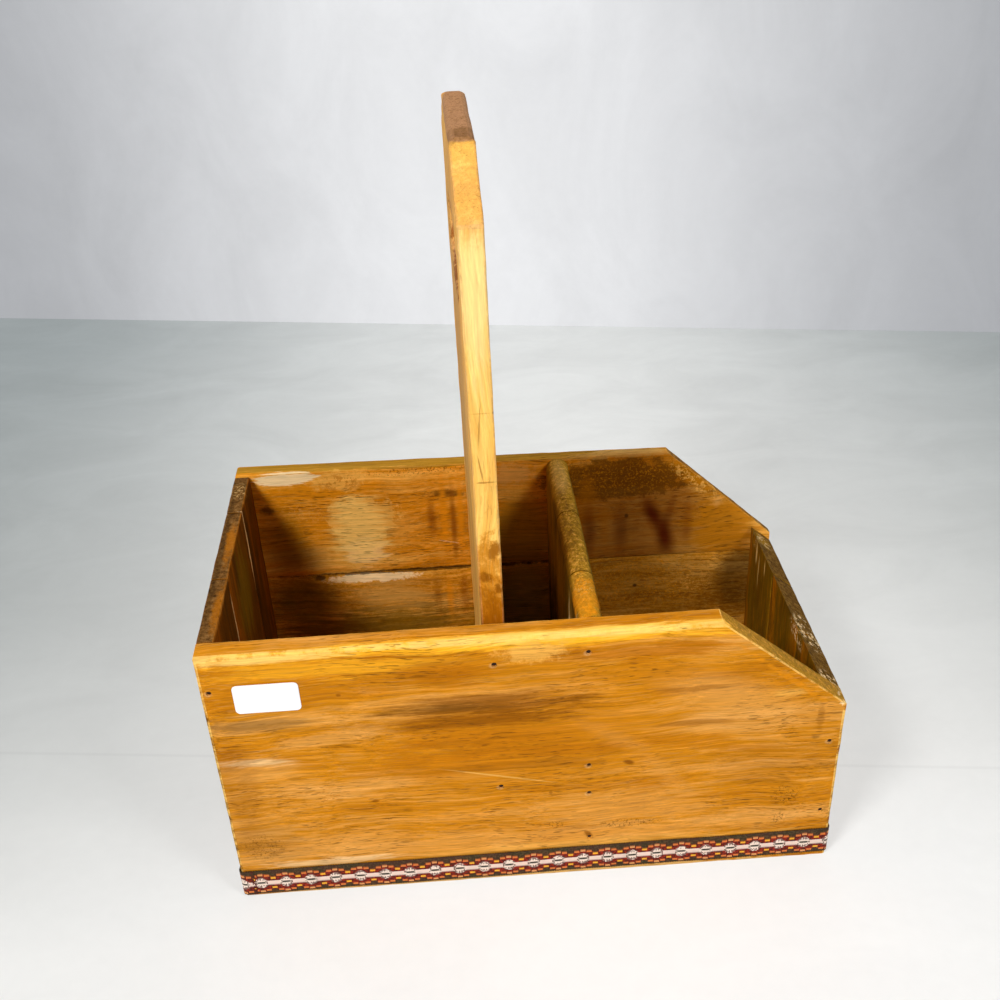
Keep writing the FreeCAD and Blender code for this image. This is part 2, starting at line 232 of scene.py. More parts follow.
class Desk:
    """One material's nodes, added in the order in which they are asked for."""

    def __init__(self, name: str) -> None:
        """Start an empty material.

        Args:
            name: the material's name.
        """
        self.material = bpy.data.materials.new(name)
        self.material.use_nodes = True
        self.tree = self.material.node_tree
        self.tree.nodes.clear()

    def node(
        self, kind: str, settings: Optional[dict] = None, inputs: Optional[dict] = None
    ) -> bpy.types.Node:
        """Add one node.

        Args:
            kind: the node's type.
            settings: its options, set first. "stops" gives a ramp's places and tones.
            inputs: values or links for its sockets, by name or number.

        Returns:
            The new node.
        """
        made = self.tree.nodes.new(kind)
        for key, value in (settings or {}).items():
            if key == "stops":
                self._set_stops(made.color_ramp, value)
            else:
                setattr(made, key, value)
        for key, value in (inputs or {}).items():
            self.feed(made.inputs[key], value)
        return made

    def _set_stops(self, ramp: bpy.types.ColorRamp, stops: Sequence[Tuple[float, Tone]]) -> None:
        """Give a ramp its tones.

        Args:
            ramp: a new ramp, with its two first stops.
            stops: each tone and its place from 0 to 1.
        """
        while len(ramp.elements) < len(stops):
            ramp.elements.new(1.0)
        for element, (place, tone) in zip(ramp.elements, stops):
            element.position = place
            element.color = tone.rgba

    def feed(self, socket: Socket, value: Feed) -> None:
        """Link a varying value to a socket, or set the socket to a fixed one.

        Args:
            socket: the socket that is fed.
            value: a varying value, a link or a fixed setting.
        """
        if isinstance(value, Value):
            value = value.socket
        if isinstance(value, Socket):
            self.tree.links.new(value, socket)
        else:
            socket.default_value = value

    def math(self, operation: str, *values: Number) -> Value:
        """Work one sum on up to three numbers."""
        node = self.node("ShaderNodeMath", {"operation": operation}, dict(enumerate(values)))
        return Value(self, node.outputs[0])

    def vector_math(self, operation: str, *values: Feed) -> Socket:
        """Work one sum on vectors, for its vector result."""
        return self.node("ShaderNodeVectorMath", {"operation": operation}, dict(enumerate(values))).outputs[0]

    def place(self) -> Socket:
        """Where on the tote a point is."""
        return self.node("ShaderNodeTexCoord").outputs["Object"]

    def attribute(self, name: str) -> Value:
        """A number stored on the mesh."""
        return Value(self, self.node("ShaderNodeAttribute", {"attribute_name": name}).outputs["Fac"])

    def split(self, vector: Socket) -> Tuple[Value, Value, Value]:
        """The three numbers of a vector."""
        parts = self.node("ShaderNodeSeparateXYZ", inputs={0: vector}).outputs
        return Value(self, parts[0]), Value(self, parts[1]), Value(self, parts[2])

    def noise(
        self, where: Feed, scale: float, detail: float = 2.0, rough: float = 0.5, bend: float = 0.0
    ) -> Value:
        """Smooth noise, about 0.5.

        Args:
            where: the point to read it at.
            scale: how many lumps to the metre.
            detail: how many finer layers lie on it.
            rough: how strong the finer layers are.
            bend: how far it is pulled out of line.

        Returns:
            The noise, from 0 to 1.
        """
        inputs = {"Vector": where, "Scale": scale, "Detail": detail, "Roughness": rough, "Distortion": bend}
        return Value(self, self.node("ShaderNodeTexNoise", None, inputs).outputs["Fac"])

    def ramp(self, value: Number, *stops: Tuple[float, Tone]) -> Socket:
        """A colour read off a run of tones."""
        return self.node("ShaderNodeValToRGB", {"stops": stops}, {0: value}).outputs["Color"]

    def blend(self, factor: Number, under: Feed, over: Feed) -> Socket:
        """Lay one colour over another, by a factor from 0 to 1."""
        settings = {"data_type": "RGBA", "blend_type": "MIX"}
        return self.node("ShaderNodeMix", settings, {0: factor, 6: under, 7: over}).outputs[2]

    def shaded(self, colour: Feed, shade: Number) -> Socket:
        """A colour made lighter or darker, where shade is 1 for no change."""
        inputs = {0: colour, "Scale": shade}
        return self.node("ShaderNodeVectorMath", {"operation": "SCALE"}, inputs).outputs[0]

    def finish(self, shader: bpy.types.Node) -> Material:
        """Close the material with its surface shader."""
        output = self.node("ShaderNodeOutputMaterial", inputs={"Surface": shader.outputs[0]})
        output.is_active_output = True
        return self.material

    def surface(
        self, colour: Feed, roughness: Number, height: Value, depth: float, **fixed: float
    ) -> Material:
        """Close the material with a surface that has a colour, a roughness and a relief.

        Args:
            colour: its base colour.
            roughness: its roughness.
            height: its relief, about 0 to 1.
            depth: how deep that relief is, in millimetres.
            fixed: other sockets of the shader, the same all over, with _ for a space.

        Returns:
            The material.
        """
        inputs = {"Base Color": colour, "Roughness": roughness}
        inputs.update({name.replace("_", " "): value for name, value in fixed.items()})
        relief = {"Height": height, "Distance": depth * MM, "Strength": 1.0}
        inputs["Normal"] = self.node("ShaderNodeBump", None, relief).outputs[0]
        return self.finish(self.node("ShaderNodeBsdfPrincipled", None, inputs))


# ---- marks on the boards --------------------------------------------------------------------------
class Side(Enum):
    """A flat side that marks lie on: the axis it faces and its place along that axis."""

    FRONT = (1, FRONT)
    BACK_INSIDE = (1, None)
    TOP = (2, WALL_TOP)
    HIGH_END_INSIDE = (0, -179.0)
    LOW_END_INSIDE = (0, 175.0)
    LOW_END_TOP = (0, 183.0)
    DIVIDER_LEFT = (0, 26.5)
    HANDLE_EDGE = (1, FRONT_INSIDE)
    HANDLE_LEFT = (0, -28.5)
    HANDLE_TOP = (2, 467.0)

    def point(self, across: float, up: float) -> Vector:
        """The point of the tote that lies across and up on this side, in millimetres.

        Args:
            across: the distance along the side.
            up: the distance up it, or over it from front to back.

        Returns:
            The point.
        """
        axis, place = self.value
        if self is Side.BACK_INSIDE:
            place = back_inside(across)
        if axis == 0:
            return Vector((place, across, up))
        if axis == 1:
            return Vector((across, place, up))
        return Vector((across, up, place))


class Texture(Enum):
    """What a mark is broken up by."""

    SOFT = 0
    STREAKED = 1
    RAGGED = 2
    SPECKS = 3
    FLAKES = 4


@dataclass(frozen=True)
class Mark:
    """One place on a side where the wood's colour leaves the rest.

    at and reach are across and up, in millimetres, turn is anticlockwise in degrees, soft is the share
    of the reach over which it fades, and depth is how far it is sunk, in parts of the relief.
    """

    side: Side
    at: Pair
    reach: Pair
    tone: Tone
    strength: float = 0.6
    turn: float = 0.0
    soft: float = 0.6
    texture: Texture = Texture.STREAKED
    depth: float = 0.0
    through: float = 7.0

    def mask(self, desk: Desk, place: Socket, broken: dict) -> Value:
        """How strongly the mark covers each point.

        Args:
            desk: the material being written.
            place: the point on the tote.
            broken: the shared noise for each texture.

        Returns:
            A number from 0 to the mark's strength.
        """
        axis = self.side.value[0]
        flat = list(self.reach)
        flat.insert(axis, self.through)
        turn = [0.0, 0.0, 0.0]
        turn[axis] = math.radians(-self.turn if axis == 1 else self.turn)
        settings = {"vector_type": "TEXTURE"}
        inputs = {
            "Vector": place,
            "Location": self.side.point(*self.at) * MM,
            "Rotation": turn,
            "Scale": Vector(flat) * MM,
        }
        local = desk.node("ShaderNodeMapping", settings, inputs).outputs[0]
        length = desk.node("ShaderNodeVectorMath", {"operation": "LENGTH"}, {0: local}).outputs["Value"]
        radius = Value(desk, length)
        if self.texture in (Texture.RAGGED, Texture.STREAKED):
            radius = radius + broken[self.texture]
        mask = radius.rise(1.0, 1.0 - self.soft) * self.strength
        return mask * broken[self.texture] if self.texture in (Texture.SPECKS, Texture.FLAKES) else mask


@dataclass(frozen=True)
class Brush:
    """Lays marks on one side of the tote, each broken up in its own way."""

    side: Side

    def streak(self, at: Pair, reach: Pair, tone: Tone, strength: float, **more: float) -> Mark:
        """A mark drawn out along the fibres."""
        return Mark(self.side, at, reach, tone, strength, texture=Texture.STREAKED, **more)

    def haze(self, at: Pair, reach: Pair, tone: Tone, strength: float, **more: float) -> Mark:
        """A mark with a smooth edge."""
        return Mark(self.side, at, reach, tone, strength, texture=Texture.SOFT, **more)

    def patch(self, at: Pair, reach: Pair, tone: Tone, strength: float, **more: float) -> Mark:
        """A mark with a ragged edge."""
        return Mark(self.side, at, reach, tone, strength, texture=Texture.RAGGED, **more)

    def specks(self, at: Pair, reach: Pair, tone: Tone, strength: float, **more: float) -> Mark:
        """A cloud of fine specks."""
        return Mark(self.side, at, reach, tone, strength, texture=Texture.SPECKS, **more)

    def flakes(self, at: Pair, reach: Pair, tone: Tone, strength: float, **more: float) -> Mark:
        """A cloud of coarse flakes."""
        return Mark(self.side, at, reach, tone, strength, texture=Texture.FLAKES, **more)


# ---- wood -----------------------------------------------------------------------------------------
class Grain(Enum):
    """The axis that a board's fibres run along."""

    ALONG = 0
    UPRIGHT = 2

    def squeezed(self, amount: float) -> Triple:
        """A scale that draws a pattern out along the fibres."""
        scale = [1.0, 1.0, 1.0]
        scale[self.value] = amount
        return tuple(scale)


@dataclass(frozen=True)
class Pattern:
    """Noise in wood: how far it is squeezed along the fibres, its lumps to the metre and its fineness."""

    squeeze: float
    scale: float
    detail: float
    rough: float
    bend: float = 0.0

    def lay(self, desk: Desk, grain: Grain, place: Socket) -> Value:
        """Write the noise, from 0 to 1, for one way of the grain."""
        if self.squeeze != 1.0:
            place = desk.vector_math("MULTIPLY", place, grain.squeezed(self.squeeze))
        return desk.noise(place, self.scale, self.detail, self.rough, self.bend)


@dataclass(frozen=True)
class Wood:
    """Stained and waxed wood, sawn and planed by hand.

    contrast spreads the grain between dark and light, speckle is a fine brushed mottle, pores are open
    ones, wear shows the worn tone along the arrises, end is how squarely a face must cut the fibres to
    show end grain, relief is how deep the grain stands, in millimetres, and apart and sway are how far
    one board's grain lies from the next one's and how far it wanders, in metres.
    """

    name: str
    grain: Grain
    light: Tone = Tone.HONEY
    middle: Tone = Tone.TAN
    dark: Tone = Tone.AMBER
    end_light: Tone = Tone.SAND
    end_middle: Tone = Tone.SMOKE
    end_dark: Tone = Tone.UMBER
    worn: Tone = Tone.SUNLIT
    pore: Tone = Tone.UMBER
    contrast: float = 1.7
    pores: float = 0.6
    speckle: float = 0.0
    wear: float = 0.6
    sheen: float = 0.5
    end: Pair = (0.42, 0.72)
    relief: float = 0.4
    apart: Triple = (0.31, 0.17, 0.23)
    sway: float = 0.02
    marks: Tuple[Mark, ...] = ()

    band: Pattern = Pattern(0.14, 30, 3, 0.6)
    figure: Pattern = Pattern(0.05, 120, 5, 0.7, 0.4)
    streak: Pattern = Pattern(0.03, 430, 4, 0.75)
    fibre: Pattern = Pattern(0.05, 980, 2, 0.75)
    hair: Pattern = Pattern(0.03, 900, 3, 0.8)
    open_pore: Pattern = Pattern(0.085, 1250, 1, 0.5)
    cover: Pattern = Pattern(0.4, 34, 3, 0.6)
    mottle: Pattern = Pattern(0.45, 520, 5, 0.8)
    fray: Pattern = Pattern(0.06, 260, 5, 0.75)
    grit: Pattern = Pattern(1.0, 620, 4, 0.7)
    rag: Pattern = Pattern(1.0, 120, 6, 0.75)
    flake: Pattern = Pattern(1.0, 230, 5, 0.75)
    sawn: Pattern = Pattern(1.0, 330, 9, 0.8)

    def make(self) -> Material:
        """Write the material.

        Returns:
            The material, for boards that carry the numbers "board" and "arris".
        """
        desk = Desk(self.name)
        place = desk.place()
        board = desk.attribute("board")
        own = self._own_grain(desk, place, board)

        def lay(pattern: Pattern) -> Value:
            """Lay one of the wood's patterns along its own grain."""
            return pattern.lay(desk, self.grain, own)

        band, figure, streak = lay(self.band), lay(self.figure), lay(self.streak)
        fibre, hair, rag = lay(self.fibre), lay(self.hair), lay(self.rag)
        mottle, sawn = lay(self.mottle), lay(self.sawn)
        pore = lay(self.open_pore).rise(0.60, 0.70)
        cover = lay(self.cover).rise(0.36, 0.66)
        broken = {
            Texture.STREAKED: (lay(self.fray) - 0.5) * 2.4,
            Texture.RAGGED: (rag - 0.5) * 2.0,
            Texture.SPECKS: lay(self.grit).rise(0.53, 0.60),
            Texture.FLAKES: lay(self.flake).rise(0.52, 0.55),
        }
        facing = desk.node("ShaderNodeTexCoord").outputs["Normal"]
        end = abs(desk.split(facing)[self.grain.value]).rise(*self.end)

        tone = (band * 0.50 + figure * 0.30 + streak * 0.20 - 0.5) * self.contrast + 0.5
        colour = desk.ramp(tone, (0.30, self.dark), (0.50, self.middle), (0.68, self.light))
        colour = desk.blend(fibre.rise(0.48, 0.30) * 0.45, colour, self.light.rgba)
        colour = desk.blend(fibre.rise(0.50, 0.66) * cover * 0.6, colour, self.dark.rgba)
        colour = desk.blend(hair.rise(0.56, 0.66) * (cover * 0.5 + 0.25), colour, self.pore.rgba)
        if self.speckle:
            colour = desk.blend(mottle.rise(0.50, 0.60) * self.speckle, colour, self.light.rgba)
            colour = desk.blend(mottle.rise(0.49, 0.40) * self.speckle, colour, self.dark.rgba)
        ends = desk.ramp(sawn, (0.36, self.end_dark), (0.5, self.end_middle), (0.64, self.end_light))
        colour = desk.blend(end, colour, ends)

        height = fibre * 0.4 + streak * 0.3 - pore * cover * 0.6
        height = height + sawn * end * 0.9 + mottle * (self.speckle * 0.6)
        for mark in self.marks:
            mask = mark.mask(desk, place, broken)
            colour = desk.blend(mask, colour, mark.tone.rgba)
            if mark.depth:
                height = height - mask * mark.depth

        rubbed = desk.attribute("arris") * rag.rise(0.36, 0.56) * self.wear
        colour = desk.blend(rubbed, colour, self.worn.rgba)
        colour = desk.blend(pore * cover * (1 - end) * self.pores, colour, self.pore.rgba)
        share = desk.node("ShaderNodeTexWhiteNoise", {"noise_dimensions": "1D"}, {"W": board}).outputs[0]
        grain = 1.03 + (streak - 0.5) * 0.9 + (fibre - 0.5) * 0.7 + Value(desk, share) * 0.08
        roughness = self.sheen + figure * 0.16 + end * 0.2
        colour = desk.shaded(colour, grain)
        return desk.surface(colour, roughness, height, self.relief, Specular_IOR_Level=0.03)

    def _own_grain(self, desk: Desk, place: Socket, board: Value) -> Socket:
        """The point at which a board's grain is read: its own part of the pattern, a little swayed.

        Args:
            desk: where the wood is written.
            place: the place on the tote.
            board: the board's own number.

        Returns:
            The link that carries the point.
        """
        shift = dict(enumerate(board * step for step in self.apart))
        own = desk.vector_math("ADD", place, desk.node("ShaderNodeCombineXYZ", None, shift).outputs[0])
        sway = desk.node("ShaderNodeTexNoise", None, {"Vector": own, "Scale": 9.0, "Detail": 2.0})
        sway = desk.vector_math("SUBTRACT", sway.outputs["Color"], (0.5, 0.5, 0.5))
        return desk.vector_math("ADD", own, desk.vector_math("MULTIPLY", sway, (self.sway,) * 3))


# ---- other finishes -------------------------------------------------------------------------------
@dataclass(frozen=True)
class Steel:
    """Old nail steel, browned and a little rusty."""

    name: str = "nail_steel"

    def make(self) -> Material:
        """Write the material.

        Returns:
            The material.
        """
        desk = Desk(self.name)
        place = desk.place()
        rust = desk.noise(place, 900, 5, 0.7)
        colour = desk.ramp(rust, (0.36, Tone.BLACK_BROWN), (0.52, Tone.IRON), (0.66, Tone.RUST))
        return desk.surface(colour, 0.5 + rust * 0.4, rust, 0.15, Metallic=0.1, Specular_IOR_Level=0.2)


@dataclass(frozen=True)
class Paper:
    """Plain white label paper, with faint fibres and slightly greyed edges."""

    name: str = "label_paper"
    centre: Pair = (-152.15, 167.9)
    half: Pair = (19.05, 10.6)

    def make(self) -> Material:
        """Write the material.

        Returns:
            The material.
        """
        desk = Desk(self.name)
        place = desk.place()
        x, _, z = desk.split(place)
        across = abs(x - self.centre[0] * MM) / (self.half[0] * MM)
        up = abs(z - self.centre[1] * MM) / (self.half[1] * MM)
        rim = across.most(up)
        fibres = desk.noise(place, 1400, 5, 0.7)
        cloud = desk.noise(place, 90, 3, 0.6)
        soiled = rim.rise(0.86, 1.04) * cloud.rise(0.35, 0.65)
        grey = soiled * 0.7 + fibres.rise(0.55, 0.75) * 0.12
        colour = desk.blend(grey, Tone.PAPER.rgba, Tone.PAPER_SHADE.rgba)
        return desk.surface(colour, 0.55 + fibres * 0.15, fibres * 0.5 + cloud, 0.08)


@dataclass(frozen=True)
class Weave:
    """The ribbon's weave: a lace flower on a pale band between red waves and dark borders.

    It is read from the ribbon's own UV map, in repeats along it and from 0 to 1 across it, and its sizes
    are in the same shares: flower is the flower's half length and half width, heart the same for the dark
    stitch in it, band the pale band's edge, and wave_foot and wave_rise where the red ends, least and most.
    """

    name: str = "woven_ribbon"
    stitches: int = 20
    rows: int = 26
    middle: float = 0.455
    end: float = 73.0
    lap: float = 0.15
    flower: Pair = (0.25, 0.225)
    heart: Pair = (0.14, 0.036)
    band: Pair = (0.100, 0.080)
    cord: Pair = (0.046, 0.034)
    cord_foot: float = 0.214
    cord_rise: float = 0.155
    wave_foot: float = 0.225
    wave_rise: float = 0.14
    relief: float = 0.18

    def make(self) -> Material:
        """Write the material.

        Returns:
            The material.
        """
        desk = Desk(self.name)
        spot = desk.node("ShaderNodeUVMap", {"uv_map": "weave"}).outputs[0]
        along, up, _ = desk.split(spot)
        stitch = along.steps(self.stitches)
        row = up.steps(self.rows)
        from_flower = abs(stitch.fraction() - 0.5)
        from_middle = abs(row - self.middle)
        wave = (from_flower * (2 * math.pi)).cosine() * 0.5 + 0.5

        dash = (stitch + 0.125).steps(4) - 0.125
        from_bloom = abs(dash.fraction() - 0.5) * 2
        bloom = 1 - from_bloom * from_bloom
        line = bloom * self.cord_rise + self.cord_foot
        beyond = from_middle - line
        place_in_dash = ((stitch + 0.125) * 4).fraction()
        knot = place_in_dash.rise(0.14, 0.08) + place_in_dash.rise(0.86, 0.92)
        cord = abs(beyond).rise(*self.cord) * (1 - knot)
        slack = from_middle - (wave * self.wave_rise + self.wave_foot)
        stripe = from_middle.rise(*self.band)
        flower = (from_flower / self.flower[0]) ** 2 + (from_middle / self.flower[1]) ** 2
        cell = desk.node("ShaderNodeCombineXYZ", None, {0: stitch, 1: row}).outputs[0]
        lace = desk.noise(cell, 61, 1, 0.5)
        petals = flower.rise(1.08, 0.92)
        parted = (stitch * (self.stitches / 2)).fraction().rise(0.4, 0.6) * from_middle.rise(0.095, 0.12)
        edged = flower.rise(0.45, 0.6) * lace.rise(0.54, 0.50)
        outline = petals * edged.most(parted * lace.rise(0.62, 0.54))
        heart = (from_flower / self.heart[0]).most(abs(row - self.middle) / self.heart[1]).rise(1.05, 0.95)
        dots = abs(from_flower - 0.05).rise(0.030, 0.018) * from_middle.rise(0.055, 0.045)
        dots = dots.most(abs(from_flower - 0.16).rise(0.022, 0.012) * from_middle.rise(0.05, 0.035) * 0.6)

        grey = desk.noise(spot, 1.7, 2, 0.5)
        dark = desk.ramp(grey, (0.42, Tone.THREAD_OLIVE), (0.58, Tone.THREAD_PLUM))
        dark = desk.blend(lace.rise(0.5, 0.62) * 0.35, dark, Tone.THREAD_STRAW.rgba)
        patches = lace.rise(0.50, 0.56) * 0.7
        red = desk.blend(patches, Tone.THREAD_MAROON.rgba, Tone.THREAD_RED.rgba)
        gold = desk.ramp(bloom, (0.1, Tone.THREAD_YELLOW), (0.7, Tone.THREAD_ORANGE), (1.0, Tone.THREAD_TAN))
        colour = desk.blend(slack.rise(0.05, 0.065), red, dark)
        colour = desk.blend(cord, colour, gold)
        colour = desk.blend(stripe, colour, Tone.THREAD_PINK.rgba)
        colour = desk.blend(petals, colour, Tone.THREAD_WHITE.rgba)
        colour = desk.blend(outline * 0.85, colour, Tone.THREAD_MAROON.rgba)
        colour = desk.blend(heart.most(dots) * 0.95, colour, Tone.THREAD_BLACK.rgba)
        lapped = along.rise(self.end - self.lap, self.end - 0.10)
        colour = desk.blend(lapped * lace.rise(0.40, 0.52), colour, Tone.THREAD_MAROON.rgba)

        across_stitch = (along * self.stitches).fraction() * 2 - 1
        across_row = (up * self.rows).fraction() * 2 - 1
        thread = 1 - across_stitch * across_stitch * 0.5 - across_row * across_row * 0.5
        fuzz = desk.noise(desk.place(), 2600, 3, 0.6)
        worn = desk.noise(desk.place(), 60, 3, 0.6).rise(0.5, 0.75) * 0.15
        shade = desk.blend(0.30 - thread * 0.30 + worn, colour, Tone.THREAD_BLACK.rgba)
        height = thread + fuzz * 0.4
        return desk.surface(
            shade, 0.82 + fuzz * 0.12, height, self.relief, Specular_IOR_Level=0.15, Sheen_Weight=0.05
        )


class Grey(Enum):
    """The studio paper's tones, as display red, green and blue, with a painted falloff of light to the sides
    and far off.
    """

    NEAR = (250, 249, 247)
    MIDDLE = (246, 245, 242)
    BEYOND = (238, 238, 235)
    FAR = (226, 228, 227)
    NEAR_SIDE = (226, 226, 223)
    MIDDLE_SIDE = (194, 196, 194)
    BEYOND_SIDE = (172, 176, 175)
    FAR_SIDE = (164, 171, 172)
    WALL = (237, 238, 240)
    WALL_SIDE = (176, 178, 182)

    rgba = Tone.rgba

    @classmethod
    def floor_middle(cls) -> Tuple["Grey", ...]:
        """The tones down the middle of the floor, from near to far."""
        return cls.NEAR, cls.MIDDLE, cls.BEYOND, cls.FAR

    @classmethod
    def floor_side(cls) -> Tuple["Grey", ...]:
        """The tones down the sides of the floor, from near to far."""
        return cls.NEAR_SIDE, cls.MIDDLE_SIDE, cls.BEYOND_SIDE, cls.FAR_SIDE


@dataclass(frozen=True)
class StudioPaper:
    """A pale sheet with painted light: bright down its middle and grey away from it.

    Its tones run from near to far, at the shares of run that stops gives, and start as far in front of
    the tote's middle as lead says. Sizes here are in metres.
    """

    name: str
    middle: Tuple["Grey", ...]
    side: Tuple["Grey", ...]
    own_light: float
    centre: float = 0.06
    half_width: float = 0.64
    lead: float = 0.14
    run: float = 0.90
    stops: Tuple[float, ...] = (0.0, 0.16, 0.38, 1.0)
    crease: float = -0.001
    crease_run: float = -0.1195

    def make(self) -> Material:
        """Write the material.

        Returns:
            The material.
        """
        desk = Desk(self.name)
        place = desk.place()
        x, y, _ = desk.split(place)
        depth = (y + self.lead) / self.run
        aside = abs(x - self.centre).rise(0.0, self.half_width)
        middle = desk.ramp(depth, *zip(self.stops, self.middle))
        sides = desk.ramp(depth, *zip(self.stops, self.side))
        crumpled = desk.vector_math("MULTIPLY", place, (1.0, 2.0, 0.6))
        crumple = desk.noise(crumpled, 7.0, 5, 0.62, 0.8) - 0.5
        pile = desk.noise(place, 90.0, 3, 0.6) - 0.5
        fold = abs(y - x * self.crease_run - self.crease).rise(0.0022, 0.0004)
        far = depth.rise(0.05, 0.7)
        colour = desk.blend(aside.least(1), middle, sides)
        # Painted shade: crumple lightens and darkens the flat sheet as creased paper would be lit, and fold
        # darkens it along one crease.
        shade = 1.0 + crumple * (far * 0.20 + 0.09) + pile * 0.04 - fold * 0.05
        colour = desk.shaded(colour, shade)
        diffuse = desk.node("ShaderNodeBsdfDiffuse", None, {"Color": colour})
        glow = desk.node("ShaderNodeEmission", None, {"Color": colour, "Strength": 1.0})
        path = desk.node("ShaderNodeLightPath").outputs
        seen = Value(desk, path["Is Camera Ray"]) + Value(desk, path["Is Glossy Ray"])
        lit = desk.node(
            "ShaderNodeMixShader",
            None,
            {0: seen.least(1) * self.own_light, 1: diffuse.outputs[0], 2: glow.outputs[0]},
        )
        behind = desk.node("ShaderNodeNewGeometry").outputs["Backfacing"]
        clear = desk.node("ShaderNodeBsdfTransparent")
        return desk.finish(
            desk.node("ShaderNodeMixShader", None, {0: behind, 1: lit.outputs[0], 2: clear.outputs[0]})
        )


# ---- the workbench --------------------------------------------------------------------------------
EdgeTest = Callable[[Vector, Vector], bool]
CUT_TOLERANCE = 1e-6
SHARP_ANGLE = 40.0
SMOOTH_ANGLE = 32.0
FLATNESS = 0.9995


def only(piece: Piece) -> None:
    """Select one piece and nothing else."""
    bpy.ops.object.select_all(action="DESELECT")
    piece.select_set(True)
    bpy.context.view_layer.objects.active = piece


@contextmanager
def editing(piece: Piece, pick: str = "FACE") -> Iterator[None]:
    """Hold a piece in edit mode, picking faces, edges or vertices.

    Args:
        piece: the piece, alone in edit mode.
        pick: "FACE", "EDGE" or "VERT".
    """
    only(piece)
    bpy.context.tool_settings.mesh_select_mode = [pick == kind for kind in ("VERT", "EDGE", "FACE")]
    bpy.ops.object.mode_set(mode="EDIT")
    yield
    bpy.ops.object.mode_set(mode="OBJECT")


def settle(piece: Piece) -> None:
    """Put a piece's place, turn and scale into its mesh."""
    only(piece)
    bpy.ops.object.transform_apply(location=True, rotation=True, scale=True)


def started(name: str, primitive: str, **shape: Any) -> Piece:
    """Start a piece from a primitive, with nothing else selected.

    Args:
        name: the piece's name.
        primitive: which primitive it starts from, such as "cube".
        shape: the primitive's size and place.

    Returns:
        The new piece.
    """
    bpy.ops.object.select_all(action="DESELECT")
    getattr(bpy.ops.mesh, f"primitive_{primitive}_add")(**shape)
    piece = bpy.context.object
    piece.name = name
    piece.data.name = name
    return piece


def block(name: str, low: Triple, high: Triple) -> Piece:
    """A squared block between two corners, in millimetres.

    Args:
        name: the piece's name.
        low: its least corner.
        high: its greatest corner.

    Returns:
        The block.
    """
    low, high = Vector(low) * MM, Vector(high) * MM
    piece = started(name, "cube", size=1, location=(low + high) / 2, scale=high - low)
    settle(piece)
    return piece


def saw(piece: Piece, point: Triple, normal: Triple) -> None:
    """Saw a piece along a plane through point, and drop what lies on the normal's side.

    Args:
        piece: the piece.
        point: a point of the cut, in millimetres.
        normal: the way the waste lies.
    """
    with editing(piece):
        bpy.ops.mesh.select_all(action="SELECT")
        bpy.ops.mesh.bisect(
            plane_co=Vector(point) * MM,
            plane_no=Vector(normal).normalized(),
            use_fill=True,
            clear_outer=True,
            threshold=CUT_TOLERANCE,
        )


def clear_picks(mesh: bpy.types.Mesh) -> None:
    """Deselect a mesh's faces, edges and vertices, in object mode."""
    for group in (mesh.polygons, mesh.edges, mesh.vertices):
        group.foreach_set("select", [False] * len(group))


def pick_vertices(piece: Piece, chosen: Callable[[Vector], bool]) -> None:
    """Select the vertices that satisfy chosen, in millimetres, and nothing else."""
    clear_picks(piece.data)
    for vertex in piece.data.vertices:
        vertex.select = chosen(vertex.co / MM)


def pick_edges(piece: Piece, chosen: EdgeTest) -> int:
    """Select the edges whose two ends satisfy chosen, and nothing else.

    Args:
        piece: the piece, in object mode.
        chosen: a test of an edge's two ends, in millimetres.

    Returns:
        How many edges were selected.
    """
    mesh = piece.data
    clear_picks(mesh)
    count = 0
    for edge in mesh.edges:
        ends = [mesh.vertices[index].co / MM for index in edge.vertices]
        if chosen(*ends):
            edge.select = True
            count += 1
            for index in edge.vertices:
                mesh.vertices[index].select = True
    return count


def ease(piece: Piece, width: float, segments: int, chosen: EdgeTest) -> None:
    """Round or bevel the chosen edges of a piece.

    Args:
        piece: the piece.
        width: the bevel's width, in millimetres.
        segments: how many flats it has.
        chosen: a test of an edge's two ends.
    """
    if not pick_edges(piece, chosen):
        raise ValueError(f"{piece.name}: no edge to ease")
    with editing(piece, "EDGE"):
        bpy.ops.mesh.bevel(offset=width * MM, segments=segments, affect="EDGES", profile=0.5)


def sharp_edges(piece: Piece, width: float, segments: int = 2) -> None:
    """Ease every edge that is still sharp.

    Args:
        piece: the piece.
        width: the bevel's width, in millimetres.
        segments: how many flats it has.
    """
    with editing(piece, "EDGE"):
        bpy.ops.mesh.select_all(action="DESELECT")
        bpy.ops.mesh.edges_select_sharp(sharpness=math.radians(SHARP_ANGLE))
        bpy.ops.mesh.bevel(offset=width * MM, segments=segments, affect="EDGES", profile=0.5)


def score(piece: Piece, axis: Vector, low: float, high: float, step: float) -> None:
    """Cut a piece across at even steps along an axis, so that it can take dents.

    Args:
        piece: the piece.
        axis: the way along it.
        low: where it begins, in millimetres.
        high: where it ends.
        step: the space between cuts.
    """
    with editing(piece):
        for index in range(1, int((high - low) / step)):
            place = axis * (low + index * step) * MM
            bpy.ops.mesh.select_all(action="SELECT")
            bpy.ops.mesh.bisect(plane_co=place, plane_no=axis, threshold=CUT_TOLERANCE)


